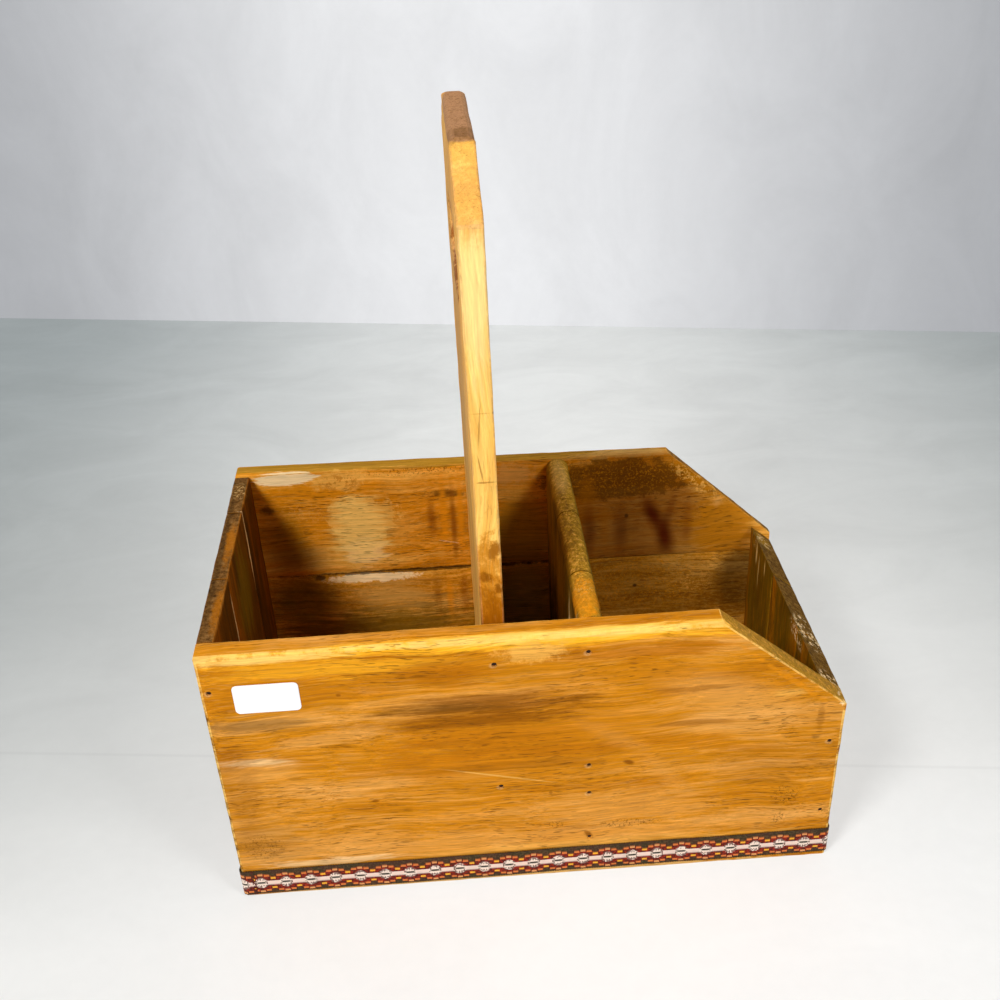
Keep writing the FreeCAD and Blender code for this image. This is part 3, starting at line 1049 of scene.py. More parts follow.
def tell_arrises(piece: Piece, board: int, flats: Iterable[Triple] = ()) -> None:
    """Store where a board's arrises are, and the board's own number, for its finish.

    Args:
        piece: the board.
        board: a number of its own.
        flats: the directions that its sawn faces look in, besides the three axes.
    """
    mesh = piece.data
    planes = [X_AXIS, Y_AXIS, Z_AXIS, BACK_NORMAL, INSIDE_NORMAL]
    planes += [Vector(flat).normalized() for flat in flats]
    arris = mesh.attributes.new("arris", "FLOAT", "CORNER")
    rim = set()
    for polygon in mesh.polygons:
        flat = any(abs(polygon.normal.dot(plane)) > FLATNESS for plane in planes)
        for corner in polygon.loop_indices:
            arris.data[corner].value = 0.0 if flat else 1.0
        if not flat:
            rim.update(polygon.vertices)
    group = piece.vertex_groups.new(name="arris")
    group.add(sorted(rim), 1.0, "REPLACE")
    number_board(piece, board)


def number_board(piece: Piece, board: int) -> None:
    """Store a board's own number at every vertex, so that its grain differs from its neighbours'."""
    mesh = piece.data
    number = mesh.attributes.get("board") or mesh.attributes.new("board", "FLOAT", "POINT")
    number.data.foreach_set("value", [float(board)] * len(mesh.vertices))


def apply_modifier(piece: Piece, modifier: bpy.types.Modifier) -> None:
    """Make a modifier's result the piece's own mesh."""
    only(piece)
    bpy.ops.object.modifier_apply(modifier=modifier.name)


def dent(piece: Piece, depth: float, lump: float, group: str = "") -> None:
    """Sink a piece's surface unevenly.

    Args:
        piece: the piece.
        depth: the most that it may sink, in millimetres.
        lump: the size of the hollows, in millimetres.
        group: the vertices that are sunk, or all of them.
    """
    cloud = bpy.data.textures.new(f"{piece.name}_dents", "CLOUDS")
    cloud.noise_scale = lump * MM
    cloud.noise_depth = 2
    modifier = piece.modifiers.new("dents", "DISPLACE")
    modifier.texture = cloud
    modifier.texture_coords = "LOCAL"
    modifier.strength = depth * MM
    modifier.mid_level = 1.0
    modifier.vertex_group = group
    apply_modifier(piece, modifier)


@dataclass(frozen=True)
class Wear:
    """How a board has worn: the depth and size of nibbles in its arrises and of dents all over it."""

    nibble: float
    nibble_size: float
    dent: float
    dent_size: float

    def weather(self, board: Piece) -> None:
        """Nibble a board's arrises, then dent its faces."""
        dent(board, self.nibble, self.nibble_size, "arris")
        dent(board, self.dent, self.dent_size)


def carve(piece: Piece, tool: Piece) -> None:
    """Take a tool's shape out of a piece, and put the tool away.

    Args:
        piece: the piece that is cut.
        tool: a closed shape.
    """
    modifier = piece.modifiers.new("carve", "BOOLEAN")
    modifier.operation = "DIFFERENCE"
    modifier.solver = "EXACT"
    modifier.object = tool
    apply_modifier(piece, modifier)
    bpy.data.objects.remove(tool)


def joined(name: str, pieces: Sequence[Piece]) -> Piece:
    """Join pieces into one.

    Args:
        name: the new piece's name.
        pieces: one piece or more.

    Returns:
        The new piece.
    """
    bpy.ops.object.select_all(action="DESELECT")
    for piece in pieces:
        piece.select_set(True)
    bpy.context.view_layer.objects.active = pieces[0]
    bpy.ops.object.join()
    pieces[0].name = name
    pieces[0].data.name = name
    return pieces[0]


def hand_over(piece: Piece, node: str, slot: str, finish: Material) -> None:
    """Dress a finished piece and put it in its CAD node's place.

    Args:
        piece: the finished piece.
        node: the CAD node that it replaces.
        slot: the node's material slot. Not used.
        finish: its material.
    """
    piece.data.materials.clear()
    piece.data.materials.append(finish)
    only(piece)
    bpy.ops.object.shade_smooth_by_angle(angle=math.radians(SMOOTH_ANGLE))
    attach(piece, "root")
    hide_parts(node)
    log.info("%s stands for %s: %d faces", piece.name, node, len(piece.data.polygons))


# ---- nails ----------------------------------------------------------------------------------------
@dataclass
class Nails:
    """Headless nails, each set a little below the face of the wood."""

    radius: float = 1.3
    length: float = 38.0
    set_in: float = 0.7
    hole_radius: float = 1.55
    high_end: Tuple[float, ...] = (14.0, 174.0)
    handle: Tuple[float, ...] = (18.0, 83.0, 181.0)
    divider: Tuple[float, ...] = (32.5, 72.0, 96.0, 185.5)
    low_end: Tuple[float, ...] = (42.0, 102.0)
    high_end_x: float = -184.5
    handle_x: float = -20.0
    divider_x: float = 34.5
    low_end_x: float = 182.5
    bottom_z: float = 6.0
    bottom_spacing: float = 70.0
    bottom_end_y: Pair = (-55.0, 43.0)
    head_ease: float = 0.35
    point_share: float = 0.1
    point_width: float = 0.3
    flare: float = 0.25
    clearance: float = 0.05

    def rows(self) -> dict:
        """Each joint's nail places on the long panels, across and up, by CAD node.

        Returns:
            The places, in millimetres.
        """
        return {
            "high_end_nails": [(self.high_end_x, z) for z in self.high_end],
            "handle_nails": [(self.handle_x, z) for z in self.handle],
            "divider_nails": [(self.divider_x, z) for z in self.divider],
            "low_end_nails": [(self.low_end_x, z) for z in self.low_end],
            "bottom_nails": [(index * self.bottom_spacing, self.bottom_z) for index in range(-2, 3)],
        }

    def model(self) -> Piece:
        """One nail, its head at the origin and its point down -Z.

        Returns:
            The nail.
        """
        length = self.length * MM
        at = (0, 0, -length / 2)
        nail = started("nail", "cylinder", vertices=20, radius=self.radius * MM, depth=length, location=at)
        settle(nail)
        ease(nail, self.head_ease, 3, lambda a, b: min(a.z, b.z) > -self.head_ease)
        pick_vertices(nail, lambda point: point.z < (self.point_share - 1) * self.length)
        with editing(nail, "VERT"):
            bpy.ops.transform.resize(value=(self.point_width, self.point_width, 1.0))
        return nail

    def drive(self, nail: Piece, head: Vector, into: Vector) -> Piece:
        """A copy of the nail, driven from head along into.

        Args:
            nail: the nail that is copied.
            head: where it goes in, in millimetres.
            into: the way it goes.

        Returns:
            The copy.
        """
        copy = nail.copy()
        copy.data = nail.data.copy()
        bpy.context.collection.objects.link(copy)
        turn = (-Z_AXIS).rotation_difference(into).to_matrix().to_4x4()
        copy.data.transform(Matrix.Translation((head + into * self.set_in) * MM) @ turn)
        return copy

    def build(self, finish: Material) -> None:
        """Model one nail and drive a copy at every place.

        Args:
            finish: the steel.
        """
        nail = self.model()
        back = -BACK_NORMAL
        for node, places in self.rows().items():
            driven = [self.drive(nail, Vector((x, FRONT, z)), Y_AXIS) for x, z in places]
            driven += [self.drive(nail, Vector((x, back_outside(x), z)), back) for x, z in places]
            if node == "bottom_nails":
                for y in self.bottom_end_y:
                    driven.append(self.drive(nail, Vector((LEFT, y, self.bottom_z)), X_AXIS))
                    driven.append(self.drive(nail, Vector((RIGHT, y, self.bottom_z)), -X_AXIS))
            hand_over(joined(f"set_{node}", driven), node, "nail_steel", finish)
        bpy.data.objects.remove(nail)

    def drill(self, panel: Piece, at_back: bool, low: float, high: float) -> None:
        """Sink the nail holes of a long panel that lie between two heights.

        Args:
            panel: the panel.
            at_back: whether it is a back board.
            low: the lower height, in millimetres.
            high: the upper height.
        """
        tools = []
        for places in self.rows().values():
            for x, z in places:
                if not low < z < high:
                    continue
                y = back_outside(x) if at_back else FRONT
                drill = started(
                    "drill",
                    "cone",
                    vertices=18,
                    radius1=(self.hole_radius + self.flare) * MM,
                    radius2=self.hole_radius * MM,
                    depth=2 * (self.set_in + self.clearance) * MM,
                    location=Vector((x, y, z)) * MM,
                    rotation=(math.radians(90 if at_back else -90), 0, 0),
                )
                settle(drill)
                tools.append(drill)
        if tools:
            carve(panel, joined("nail_holes", tools))


# ---- long panels ----------------------------------------------------------------------------------
def at_one_end(a: Vector, b: Vector) -> bool:
    """True for an edge that lies on the outer side of one end of the tote."""
    return min(abs(a.x), abs(b.x)) > RIGHT - TOUCH / 2 and a.x * b.x > 0


@dataclass
class LongPanels:
    """The front board, and the two boards of the back."""

    nails: Nails
    seam: float = 111.5
    top_bevel: float = 3.0
    slope_bevel: float = 1.2
    corner: float = 2.0
    front_arris: float = 0.5
    back_arris: float = 0.7
    rough_stock: Pair = (60.0, 120.0)
    wear: Wear = Wear(0.6, 9.0, 0.15, 34.0)
    step: float = 5.0

    def front(self, finish: Material) -> None:
        """Saw, bevel and dent the front board.

        Args:
            finish: the board's finish.
        """
        board = block("front_board", (LEFT, FRONT, 0), (RIGHT, FRONT_INSIDE, WALL_TOP))
        slope = (WALL_TOP - LOW_FRONT, 0, RIGHT - SLOPE_X)
        saw(board, (SLOPE_X, FRONT, WALL_TOP), slope)
        ease(board, self.top_bevel, 2, self._on_top)
        ease(board, self.slope_bevel, 2, self._on_slope)
        ease(board, self.corner, 3, self._on_corner)
        sharp_edges(board, self.front_arris)
        self._weather(board, 1, slope, 0, WALL_TOP)
        hand_over(board, "front_panel", "board_wood", finish)

    @staticmethod
    def _outer(a: Vector, b: Vector) -> bool:
        """True for an edge of the front board's outer face."""
        return max(a.y, b.y) < FRONT + TOUCH

    def _on_top(self, a: Vector, b: Vector) -> bool:
        """True for the edge where the top meets the outer face."""
        return self._outer(a, b) and min(a.z, b.z) > WALL_TOP - TOUCH

    def _on_slope(self, a: Vector, b: Vector) -> bool:
        """True for the edge where the slope meets the outer face."""
        on_slope = min(a.x, b.x) > SLOPE_X - TOUCH and min(a.z, b.z) > LOW_FRONT - TOUCH
        return self._outer(a, b) and on_slope and abs(a.z - b.z) > (WALL_TOP - LOW_FRONT) / 2

    def _on_corner(self, a: Vector, b: Vector) -> bool:
        """True for the upright edges at the two ends of the outer face."""
        upright = abs(a.z - b.z) > LOW_FRONT / 2
        return self._outer(a, b) and upright and at_one_end(a, b)

    def _on_back_corner(self, a: Vector, b: Vector) -> bool:
        """True for the upright edges at the two ends of a back board's outer face."""
        outer = min(a.y - back_outside(a.x), b.y - back_outside(b.x)) > -TOUCH
        return outer and abs(a.z - b.z) > 5 * TOUCH and at_one_end(a, b)

    def _weather(
        self, board: Piece, number: int, slope: Triple, low: float, high: float
    ) -> None:
        """Drill a long board for its nails above the ribbon, then wear it.

        Args:
            board: the board, sawn and eased.
            number: its own number, 1 for the front board.
            slope: the way that its sawn slope faces.
            low: the height of its lower edge.
            high: the height of its upper edge.
        """
        tell_arrises(board, number, [slope])
        self.nails.drill(board, number > 1, max(low, RIBBON_TOP), high)
        number_board(board, number)
        score(board, X_AXIS, LEFT, RIGHT, self.step)
        score(board, Z_AXIS, low, high, self.step * 2)
        self.wear.weather(board)

    def back(self, lower: Material, upper: Material) -> None:
        """Saw, ease and dent the two back boards.

        Args:
            lower: the lower board's finish.
            upper: the upper board's finish.
        """
        for name, number, low, high, finish in (
            ("back_panel_lower", 2, 0.0, self.seam, lower),
            ("back_panel_upper", 3, self.seam, WALL_TOP, upper),
        ):
            near, far = self.rough_stock
            board = block(name.replace("panel", "board"), (LEFT, near, low), (RIGHT, far, high))
            slope = (WALL_TOP - LOW_BACK, 0, RIGHT - SLOPE_X)
            saw(board, (LEFT, back_outside(LEFT), 0), BACK_NORMAL)
            saw(board, (LEFT, back_inside(LEFT), 0), -INSIDE_NORMAL)
            if high > self.seam:
                saw(board, (SLOPE_X, 0, WALL_TOP), slope)
            ease(board, self.corner, 3, self._on_back_corner)
            sharp_edges(board, self.back_arris)
            self._weather(board, number, slope, low, high)
            hand_over(board, name, "board_wood", finish)


# ---- cross walls ----------------------------------------------------------------------------------
@dataclass
class CrossWall:
    """A wall of three upright boards between the long panels."""

    name: str
    slot: str
    left: float
    right: float
    seams: Pair
    base: float = 0.0
    first_number: int = 4
    arris: float = 0.6
    wear: Wear = Wear(0.7, 8.0, 0.2, 30.0)
    steps: Pair = (6.0, 9.0)

    def boards(self) -> Iterator[Tuple[str, int, Piece]]:
        """Saw the three boards to width and fit the last one to the tapering back panel.

        Returns:
            Each board's CAD node, number and block.
        """
        limits = (FRONT_INSIDE, *self.seams, BEYOND_BACK)
        for index, place in enumerate(("front", "middle", "back")):
            node = f"{self.name}_{place}"
            low = (self.left, limits[index], self.base)
            high = (self.right, limits[index + 1], WALL_TOP)
            board = block(f"{node}_board", low, high)
            if place == "back":
                saw(board, (LEFT, back_inside(LEFT), 0), INSIDE_NORMAL)
            yield node, self.first_number + index, board

    def complete(
        self, board: Piece, node: str, number: int, finish: Material,
        flats: Sequence[Triple] = (),
    ) -> None:
        """Wear and dress a board.

        Args:
            board: the board, sawn to shape.
            node: the CAD node that it stands for.
            number: its own number.
            finish: its material.
            flats: the directions that its slanting faces look in.
        """
        tell_arrises(board, number, flats)
        spread = [vertex.co.y / MM for vertex in board.data.vertices]
        score(board, Y_AXIS, min(spread), max(spread), self.steps[0])
        score(board, Z_AXIS, self.base, WALL_TOP, self.steps[1])
        self.wear.weather(board)
        hand_over(board, node, self.slot, finish)


@dataclass
class HighEnd(CrossWall):
    """The full-height end, its top eased on the inside."""

    inner_ease: float = 1.4

    def build(self, finish: Material) -> None:
        """Model and dress the three boards.

        Args:
            finish: the boards' finish.
        """
        for node, number, board in self.boards():
            ease(board, self.inner_ease, 3, self._on_inner_top)
            sharp_edges(board, self.arris)
            self.complete(board, node, number, finish)

    def _on_inner_top(self, a: Vector, b: Vector) -> bool:
        """True for the top edge on the inside."""
        return min(a.z, b.z) > WALL_TOP - TOUCH and min(a.x, b.x) > self.right - TOUCH


@dataclass
class LowEnd(CrossWall):
    """The low end, its top sawn to run on from the slopes of the two panels."""

    arris: float = 0.7
    fall_to_back: float = 12.0

    def build(self, finish: Material) -> None:
        """Model and dress the three boards.

        Args:
            finish: the boards' finish.
        """
        slope = (WALL_TOP - LOW_FRONT) / (RIGHT - SLOPE_X)
        run = back_inside(RIGHT) - FRONT_INSIDE
        top = (slope, self.fall_to_back / run, 1.0)
        for node, number, board in self.boards():
            saw(board, (RIGHT, FRONT_INSIDE, LOW_FRONT), top)
            sharp_edges(board, self.arris)
            self.complete(board, node, number, finish, [top])


@dataclass
class Divider(CrossWall):
    """The inner cross wall, with a fully rounded top and a slight lean at its front end."""

    arris: float = 0.3
    top_round: float = 7.6
    lean: float = 3.2
    leaning_height: float = 12.0

    def build(self, finish: Material) -> None:
        """Model and dress the three boards.

        Args:
            finish: the boards' finish.
        """
        for node, number, board in self.boards():
            ease(board, self.top_round, 8, self._along_top)
            sharp_edges(board, self.arris)
            self._tip(board)
            self.complete(board, node, number, finish)

    @staticmethod
    def _along_top(a: Vector, b: Vector) -> bool:
        """True for the top edges that run from front to back."""
        return min(a.z, b.z) > WALL_TOP - TOUCH and abs(a.x - b.x) < TOUCH

    def _tip(self, board: Piece) -> None:
        """Push the board's top towards the low end, less and less towards the back.

        Args:
            board: one of the three boards.
        """
        back = back_inside((self.left + self.right) / 2)
        middle = sum(vertex.co.y for vertex in board.data.vertices) / len(board.data.vertices) / MM
        for at_front in (True, False):
            leaning = WALL_TOP - self.leaning_height
            pick_vertices(board, lambda point: point.z > leaning and (point.y < middle) is at_front)
            reached = [vertex.co.y / MM for vertex in board.data.vertices if vertex.select]
            share = (back - sum(reached) / len(reached)) / (back - FRONT_INSIDE)
            with editing(board, "VERT"):
                bpy.ops.transform.translate(value=(self.lean * share * MM, 0, 0))


# ---- bottom ---------------------------------------------------------------------------------------
@dataclass
class Bottom:
    """Two boards laid side by side between the walls."""

    seam: float = -8.0
    left: float = -179.0
    right: float = 175.0
    arris: float = 0.7
    wear: Wear = Wear(0.8, 9.0, 0.3, 34.0)
    step: float = 8.0
    last_cut: float = 90.0

    def build(self, finish: Material) -> None:
        """Model and dress both boards.

        Args:
            finish: the boards' finish.
        """
        for node, number, near, far in (
            ("bottom_front", 20, FRONT_INSIDE, self.seam),
            ("bottom_back", 21, self.seam, BEYOND_BACK),
        ):
            board = block(f"{node}_board", (self.left, near, 0), (self.right, far, FLOOR_TOP))
            if far > self.seam:
                saw(board, (LEFT, back_inside(LEFT), 0), INSIDE_NORMAL)
            sharp_edges(board, self.arris)
            tell_arrises(board, number)
            score(board, X_AXIS, self.left, self.right, self.step)
            score(board, Y_AXIS, near, self.last_cut, self.step)
            self.wear.weather(board)
            hand_over(board, node, "bottom_wood", finish)


# ---- handle board ---------------------------------------------------------------------------------
@dataclass
class HandleBoard:
    """The tall board with sloping shoulders and a hand hole."""

    left: float = -26.2
    right: float = -11.8
    askew: float = 4.2 / 175.0
    top: float = 467.0
    shoulder: float = 438.0
    crest: float = 86.0
    arris: float = 1.6
    crest_round: float = 4.0
    grip_length: float = 100.0
    grip_height: float = 34.0
    grip_z: float = 395.0
    grip_ease: float = 2.5
    rough_stock: Pair = (-45.0, 5.0)
    number: int = 30
    wear: Wear = Wear(0.8, 16.0, 0.4, 40.0)
    step: float = 7.0

    @property
    def centre_y(self) -> float:
        """The middle of the board, front to back."""
        return (FRONT_INSIDE + back_inside((self.left + self.right) / 2)) / 2

    def grip(self) -> Piece:
        """The tool that cuts the hand hole: a bar with round ends.

        Returns:
            The tool, a closed shape.
        """
        radius = self.grip_height / 2
        bar = started(
            "grip_cutter",
            "cylinder",
            vertices=48,
            radius=radius * MM,
            depth=40 * MM,
            location=Vector(((self.left + self.right) / 2, self.centre_y, self.grip_z)) * MM,
            rotation=(0, math.radians(90), 0),
        )
        settle(bar)
        reach = self.grip_length / 2 - radius
        for way in (-1, 1):
            pick_vertices(bar, lambda point: way * (point.y - self.centre_y) > 0.01)
            with editing(bar, "VERT"):
                bpy.ops.transform.translate(value=(0, way * reach * MM, 0))
        return bar

    def build(self, finish: Material) -> None:
        """Model and dress the board.

        Args:
            finish: the board's finish.
        """
        near, far = self.rough_stock
        low, high = (near, FRONT_INSIDE, FLOOR_TOP), (far, BEYOND_BACK, self.top)
        board = block("handle_board_shaped", low, high)
        flank = Vector((1, self.askew, 0))
        saw(board, (self.left, FRONT_INSIDE, 0), -flank)
        saw(board, (self.right, FRONT_INSIDE, 0), flank)
        saw(board, (LEFT, back_inside(LEFT), 0), INSIDE_NORMAL)
        half = self.crest / 2
        back = back_inside((self.left + self.right) / 2)
        rise = self.top - self.shoulder
        front_cut = (0, -rise, self.centre_y - half - FRONT_INSIDE)
        back_cut = (0, rise, back - self.centre_y - half)
        saw(board, (0, FRONT_INSIDE, self.shoulder), front_cut)
        saw(board, (0, back, self.shoulder), back_cut)
        carve(board, self.grip())
        ease(board, self.crest_round, 5, self._on_crest)
        ease(board, self.grip_ease, 4, self._on_grip)
        sharp_edges(board, self.arris, 4)
        tell_arrises(board, self.number, [front_cut, back_cut, flank])
        score(board, Z_AXIS, FLOOR_TOP, self.top, self.step)
        score(board, Y_AXIS, FRONT_INSIDE, back, self.step)
        self.wear.weather(board)
        hand_over(board, "handle_board", "handle_wood", finish)

    def _on_crest(self, a: Vector, b: Vector) -> bool:
        """True for the two long edges of the crest."""
        return min(a.z, b.z) > self.top - TOUCH / 2 and abs(a.y - b.y) > self.crest / 2

    def _on_grip(self, a: Vector, b: Vector) -> bool:
        """True for the edges round the hand hole, on either face."""
        across = max(abs(a.y - self.centre_y), abs(b.y - self.centre_y)) < self.grip_length / 2 + TOUCH
        up = max(abs(a.z - self.grip_z), abs(b.z - self.grip_z)) < self.grip_height / 2 + TOUCH
        return across and up and abs(a.x - b.x) < 5 * TOUCH


# ---- ribbon ---------------------------------------------------------------------------------------
@dataclass
class Ribbon:
    """Woven ribbon glued round all four walls, its end lapped over its start at the front.

    front_rise and back_rise are its lower edge's height at the high end and how far it climbs from there.
    """

    width: float = 20.6
    thread: float = 0.8
    repeat: float = 16.0
    thickness: float = 0.45
    proud: float = 0.33
    corner: float = 2.2
    rows: int = 13
    start_x: float = -187.0
    end_x: float = -181.4
    first_flower_x: float = -177.8
    picot: float = 0.45
    rib: float = 0.09
    lap: float = 12.0
    lap_slope: float = 6.0
    lap_gap: float = 0.12
    front_rise: Pair = (2.5, 2.1)
    back_rise: Pair = (3.0, 1.6)

    @cached_property
    def path(self) -> list:
        """The runs and corners that the ribbon follows, seen from above.

        Returns:
            Each stretch's length, and a function from the distance along it to a point and an outward
            direction.
        """
        posts = [
            Vector((LEFT, FRONT)),
            Vector((RIGHT, FRONT)),
            Vector((RIGHT, back_outside(RIGHT))),
            Vector((LEFT, back_outside(LEFT))),
        ]
        route = [Vector((self.start_x, FRONT)), *posts[1:], posts[0], Vector((self.end_x, FRONT))]
        stretches = []
        begin = route[0]
        for before, post, after in zip(route, route[1:], route[2:]):
            run = (post - before).normalized()
            leave = (after - post).normalized()
            turn = run.angle(leave)
            back_off = self.corner * math.tan(turn / 2)
            end = post - run * back_off
            stretches.append(self._straight(begin, end))
            stretches.append(self._round(end, run, turn))
            begin = post + leave * back_off
        stretches.append(self._straight(begin, route[-1]))
        return stretches

    def _straight(self, begin: Vector, end: Vector) -> tuple:
        """A straight stretch."""
        run = (end - begin).normalized()
        outward = Vector((run.y, -run.x))
        return (end - begin).length, lambda along: (begin + run * along, outward)

    def _round(self, begin: Vector, run: Vector, turn: float) -> tuple:
        """A stretch round a corner post.

        Args:
            begin: where it begins.
            run: the way the ribbon comes in.
            turn: the angle it turns by.

        Returns:
            The stretch's length, and the function that finds a point on it.
        """
        outward = Vector((run.y, -run.x))
        centre = begin - outward * self.corner

        def follow(along: float) -> tuple:
            """The point a distance round the corner, and the way outwards."""
            swung = Vector(outward)
            swung.rotate(Matrix.Rotation(along / self.corner, 2))
            return centre + swung * self.corner, swung

        return self.corner * turn, follow

    def length(self) -> float:
        """The ribbon's whole length, its lap included."""
        return sum(stretch[0] for stretch in self.path)

    def locate(self, distance: float) -> Tuple[Vector, Vector]:
        """The point on the walls that lies a distance along the ribbon, and the way outwards.

        Args:
            distance: the distance from the ribbon's first end.

        Returns:
            The point and the way outwards.
        """
        for length, follow in self.path:
            if distance <= length:
                return follow(distance)
            distance -= length
        return follow(length)

    def repeats(self) -> Pair:
        """The pattern's repeats that the ribbon starts and ends at."""
        start = 0.5 - (self.first_flower_x - self.start_x) / self.repeat
        return start, start + self.length() / self.repeat

    def foot(self, point: Vector) -> float:
        """Height of the ribbon's lower edge: it was glued by eye, and climbs towards the low end."""
        start, rise = self.front_rise if point.y < 0 else self.back_rise
        climb = start + rise * (point.x - LEFT) / (RIGHT - LEFT)
        return climb + 0.25 * math.sin(point.x / 31.0) + 0.15 * math.sin(point.x / 11.0 + point.y / 17.0)

    def build(self, finish: Material) -> None:
        """Weave the strip flat, wrap it round the walls and thicken it.

        Args:
            finish: the woven cloth.
        """
        length = self.length()
        columns = int(length / self.thread)
        strip = started("ribbon_strip", "grid", x_subdivisions=columns, y_subdivisions=self.rows, size=2)
        mesh = strip.data
        while mesh.uv_layers:
            mesh.uv_layers.remove(mesh.uv_layers[0])
        weave = mesh.uv_layers.new(name="weave")
        start, _ = self.repeats()
        for loop in mesh.loops:
            flat = mesh.vertices[loop.vertex_index].co
            along = (flat.x + 1) / 2 * length
            weave.data[loop.index].uv = (along / self.repeat + start, (flat.y + 1) / 2)
        for vertex in mesh.vertices:
            vertex.co = self._wrapped(vertex.co, length, columns)
        thicken = strip.modifiers.new("cloth", "SOLIDIFY")
        thicken.thickness = self.thickness * MM
        thicken.offset = 0.0
        apply_modifier(strip, thicken)
        hand_over(strip, "ribbon", "woven_ribbon", finish)
        length * MM

    def _wrapped(self, flat: Vector, length: float, columns: int) -> Vector:
        """Where a point of the flat strip lies on the tote, in metres.

        Args:
            flat: the point on the strip, from -1 to 1 both ways.
            length: the strip's length, in millimetres.
            columns: how many faces it has along it.

        Returns:
            The place of the point, ribbed like a weave, with picots along both edges.
        """
        share = (flat.x + 1) / 2
        column = round(share * columns)
        row = round((flat.y + 1) / 2 * self.rows)
        point, outward = self.locate(share * length)
        over = max(0.0, min(1.0, (share * length - (length - self.lap)) / self.lap_slope))
        rib = self.rib if (column + row) % 2 else 0.0
        out = self.proud + rib + over * (self.thickness + self.lap_gap)
        height = self.foot(point) + (flat.y + 1) / 2 * self.width
        if row in (0, self.rows) and column % 2:
            height += self.picot if row else -self.picot
        spot = point + outward * out
        return Vector((spot.x, spot.y, height)) * MM


# ---- label ----------------------------------------------------------------------------------------
@dataclass
class Label:
    """A blank paper label with rounded corners."""

    width: float = 38.1
    height: float = 21.2
    thickness: float = 0.15
    corner: float = 3.0
    centre: Pair = (-152.15, 167.9)
    stand_off: float = 0.12
    cockle: float = 0.22
    cockle_size: float = 11.0
    step: float = 2.0

    def build(self, finish: Material) -> None:
        """Cut the label, round its corners, cockle it a little and stick it on.

        Args:
            finish: the paper.
        """
        x, z = self.centre
        at = Vector((x, FRONT - self.stand_off, z)) * MM
        upright = (math.radians(90), 0, 0)
        paper = started("label_sheet", "plane", size=1, location=at, rotation=upright)
        paper.scale = (self.width * MM, self.height * MM, 1)
        settle(paper)
        with editing(paper, "VERT"):
            bpy.ops.mesh.select_all(action="SELECT")
            bpy.ops.mesh.bevel(offset=self.corner * MM, segments=8, affect="VERTICES", profile=0.5)
        score(paper, X_AXIS, x - self.width / 2, x + self.width / 2, self.step)
        score(paper, Z_AXIS, z - self.height / 2, z + self.height / 2, self.step)
        dent(paper, -self.cockle, self.cockle_size)
        thicken = paper.modifiers.new("paper", "SOLIDIFY")
        thicken.thickness = self.thickness * MM
        thicken.offset = -1.0
        apply_modifier(paper, thicken)
        hand_over(paper, "label", "label_paper", finish)


# ---- studio ---------------------------------------------------------------------------------------
@dataclass
class Lamp:
    """A square soft lamp, aimed at the tote."""

    name: str
    place: Triple
    size: float
    level: float
    aim: Triple = (0.0, 0.0, 0.1)

    def hang(self) -> None:
        """Hang the lamp: level 1 shows a surface that faces it as its colour is written."""
        light = bpy.data.lights.new(self.name, "AREA")
        light.shape = "SQUARE"
        light.size = self.size
        away = Vector(self.place) - Vector(self.aim)
        light.energy = self.level * math.pi ** 2 * away.length_squared
        lamp = bpy.data.objects.new(self.name, light)
        lamp.location = self.place
        lamp.rotation_euler = away.to_track_quat("Z", "Y").to_euler()
        bpy.context.collection.objects.link(lamp)


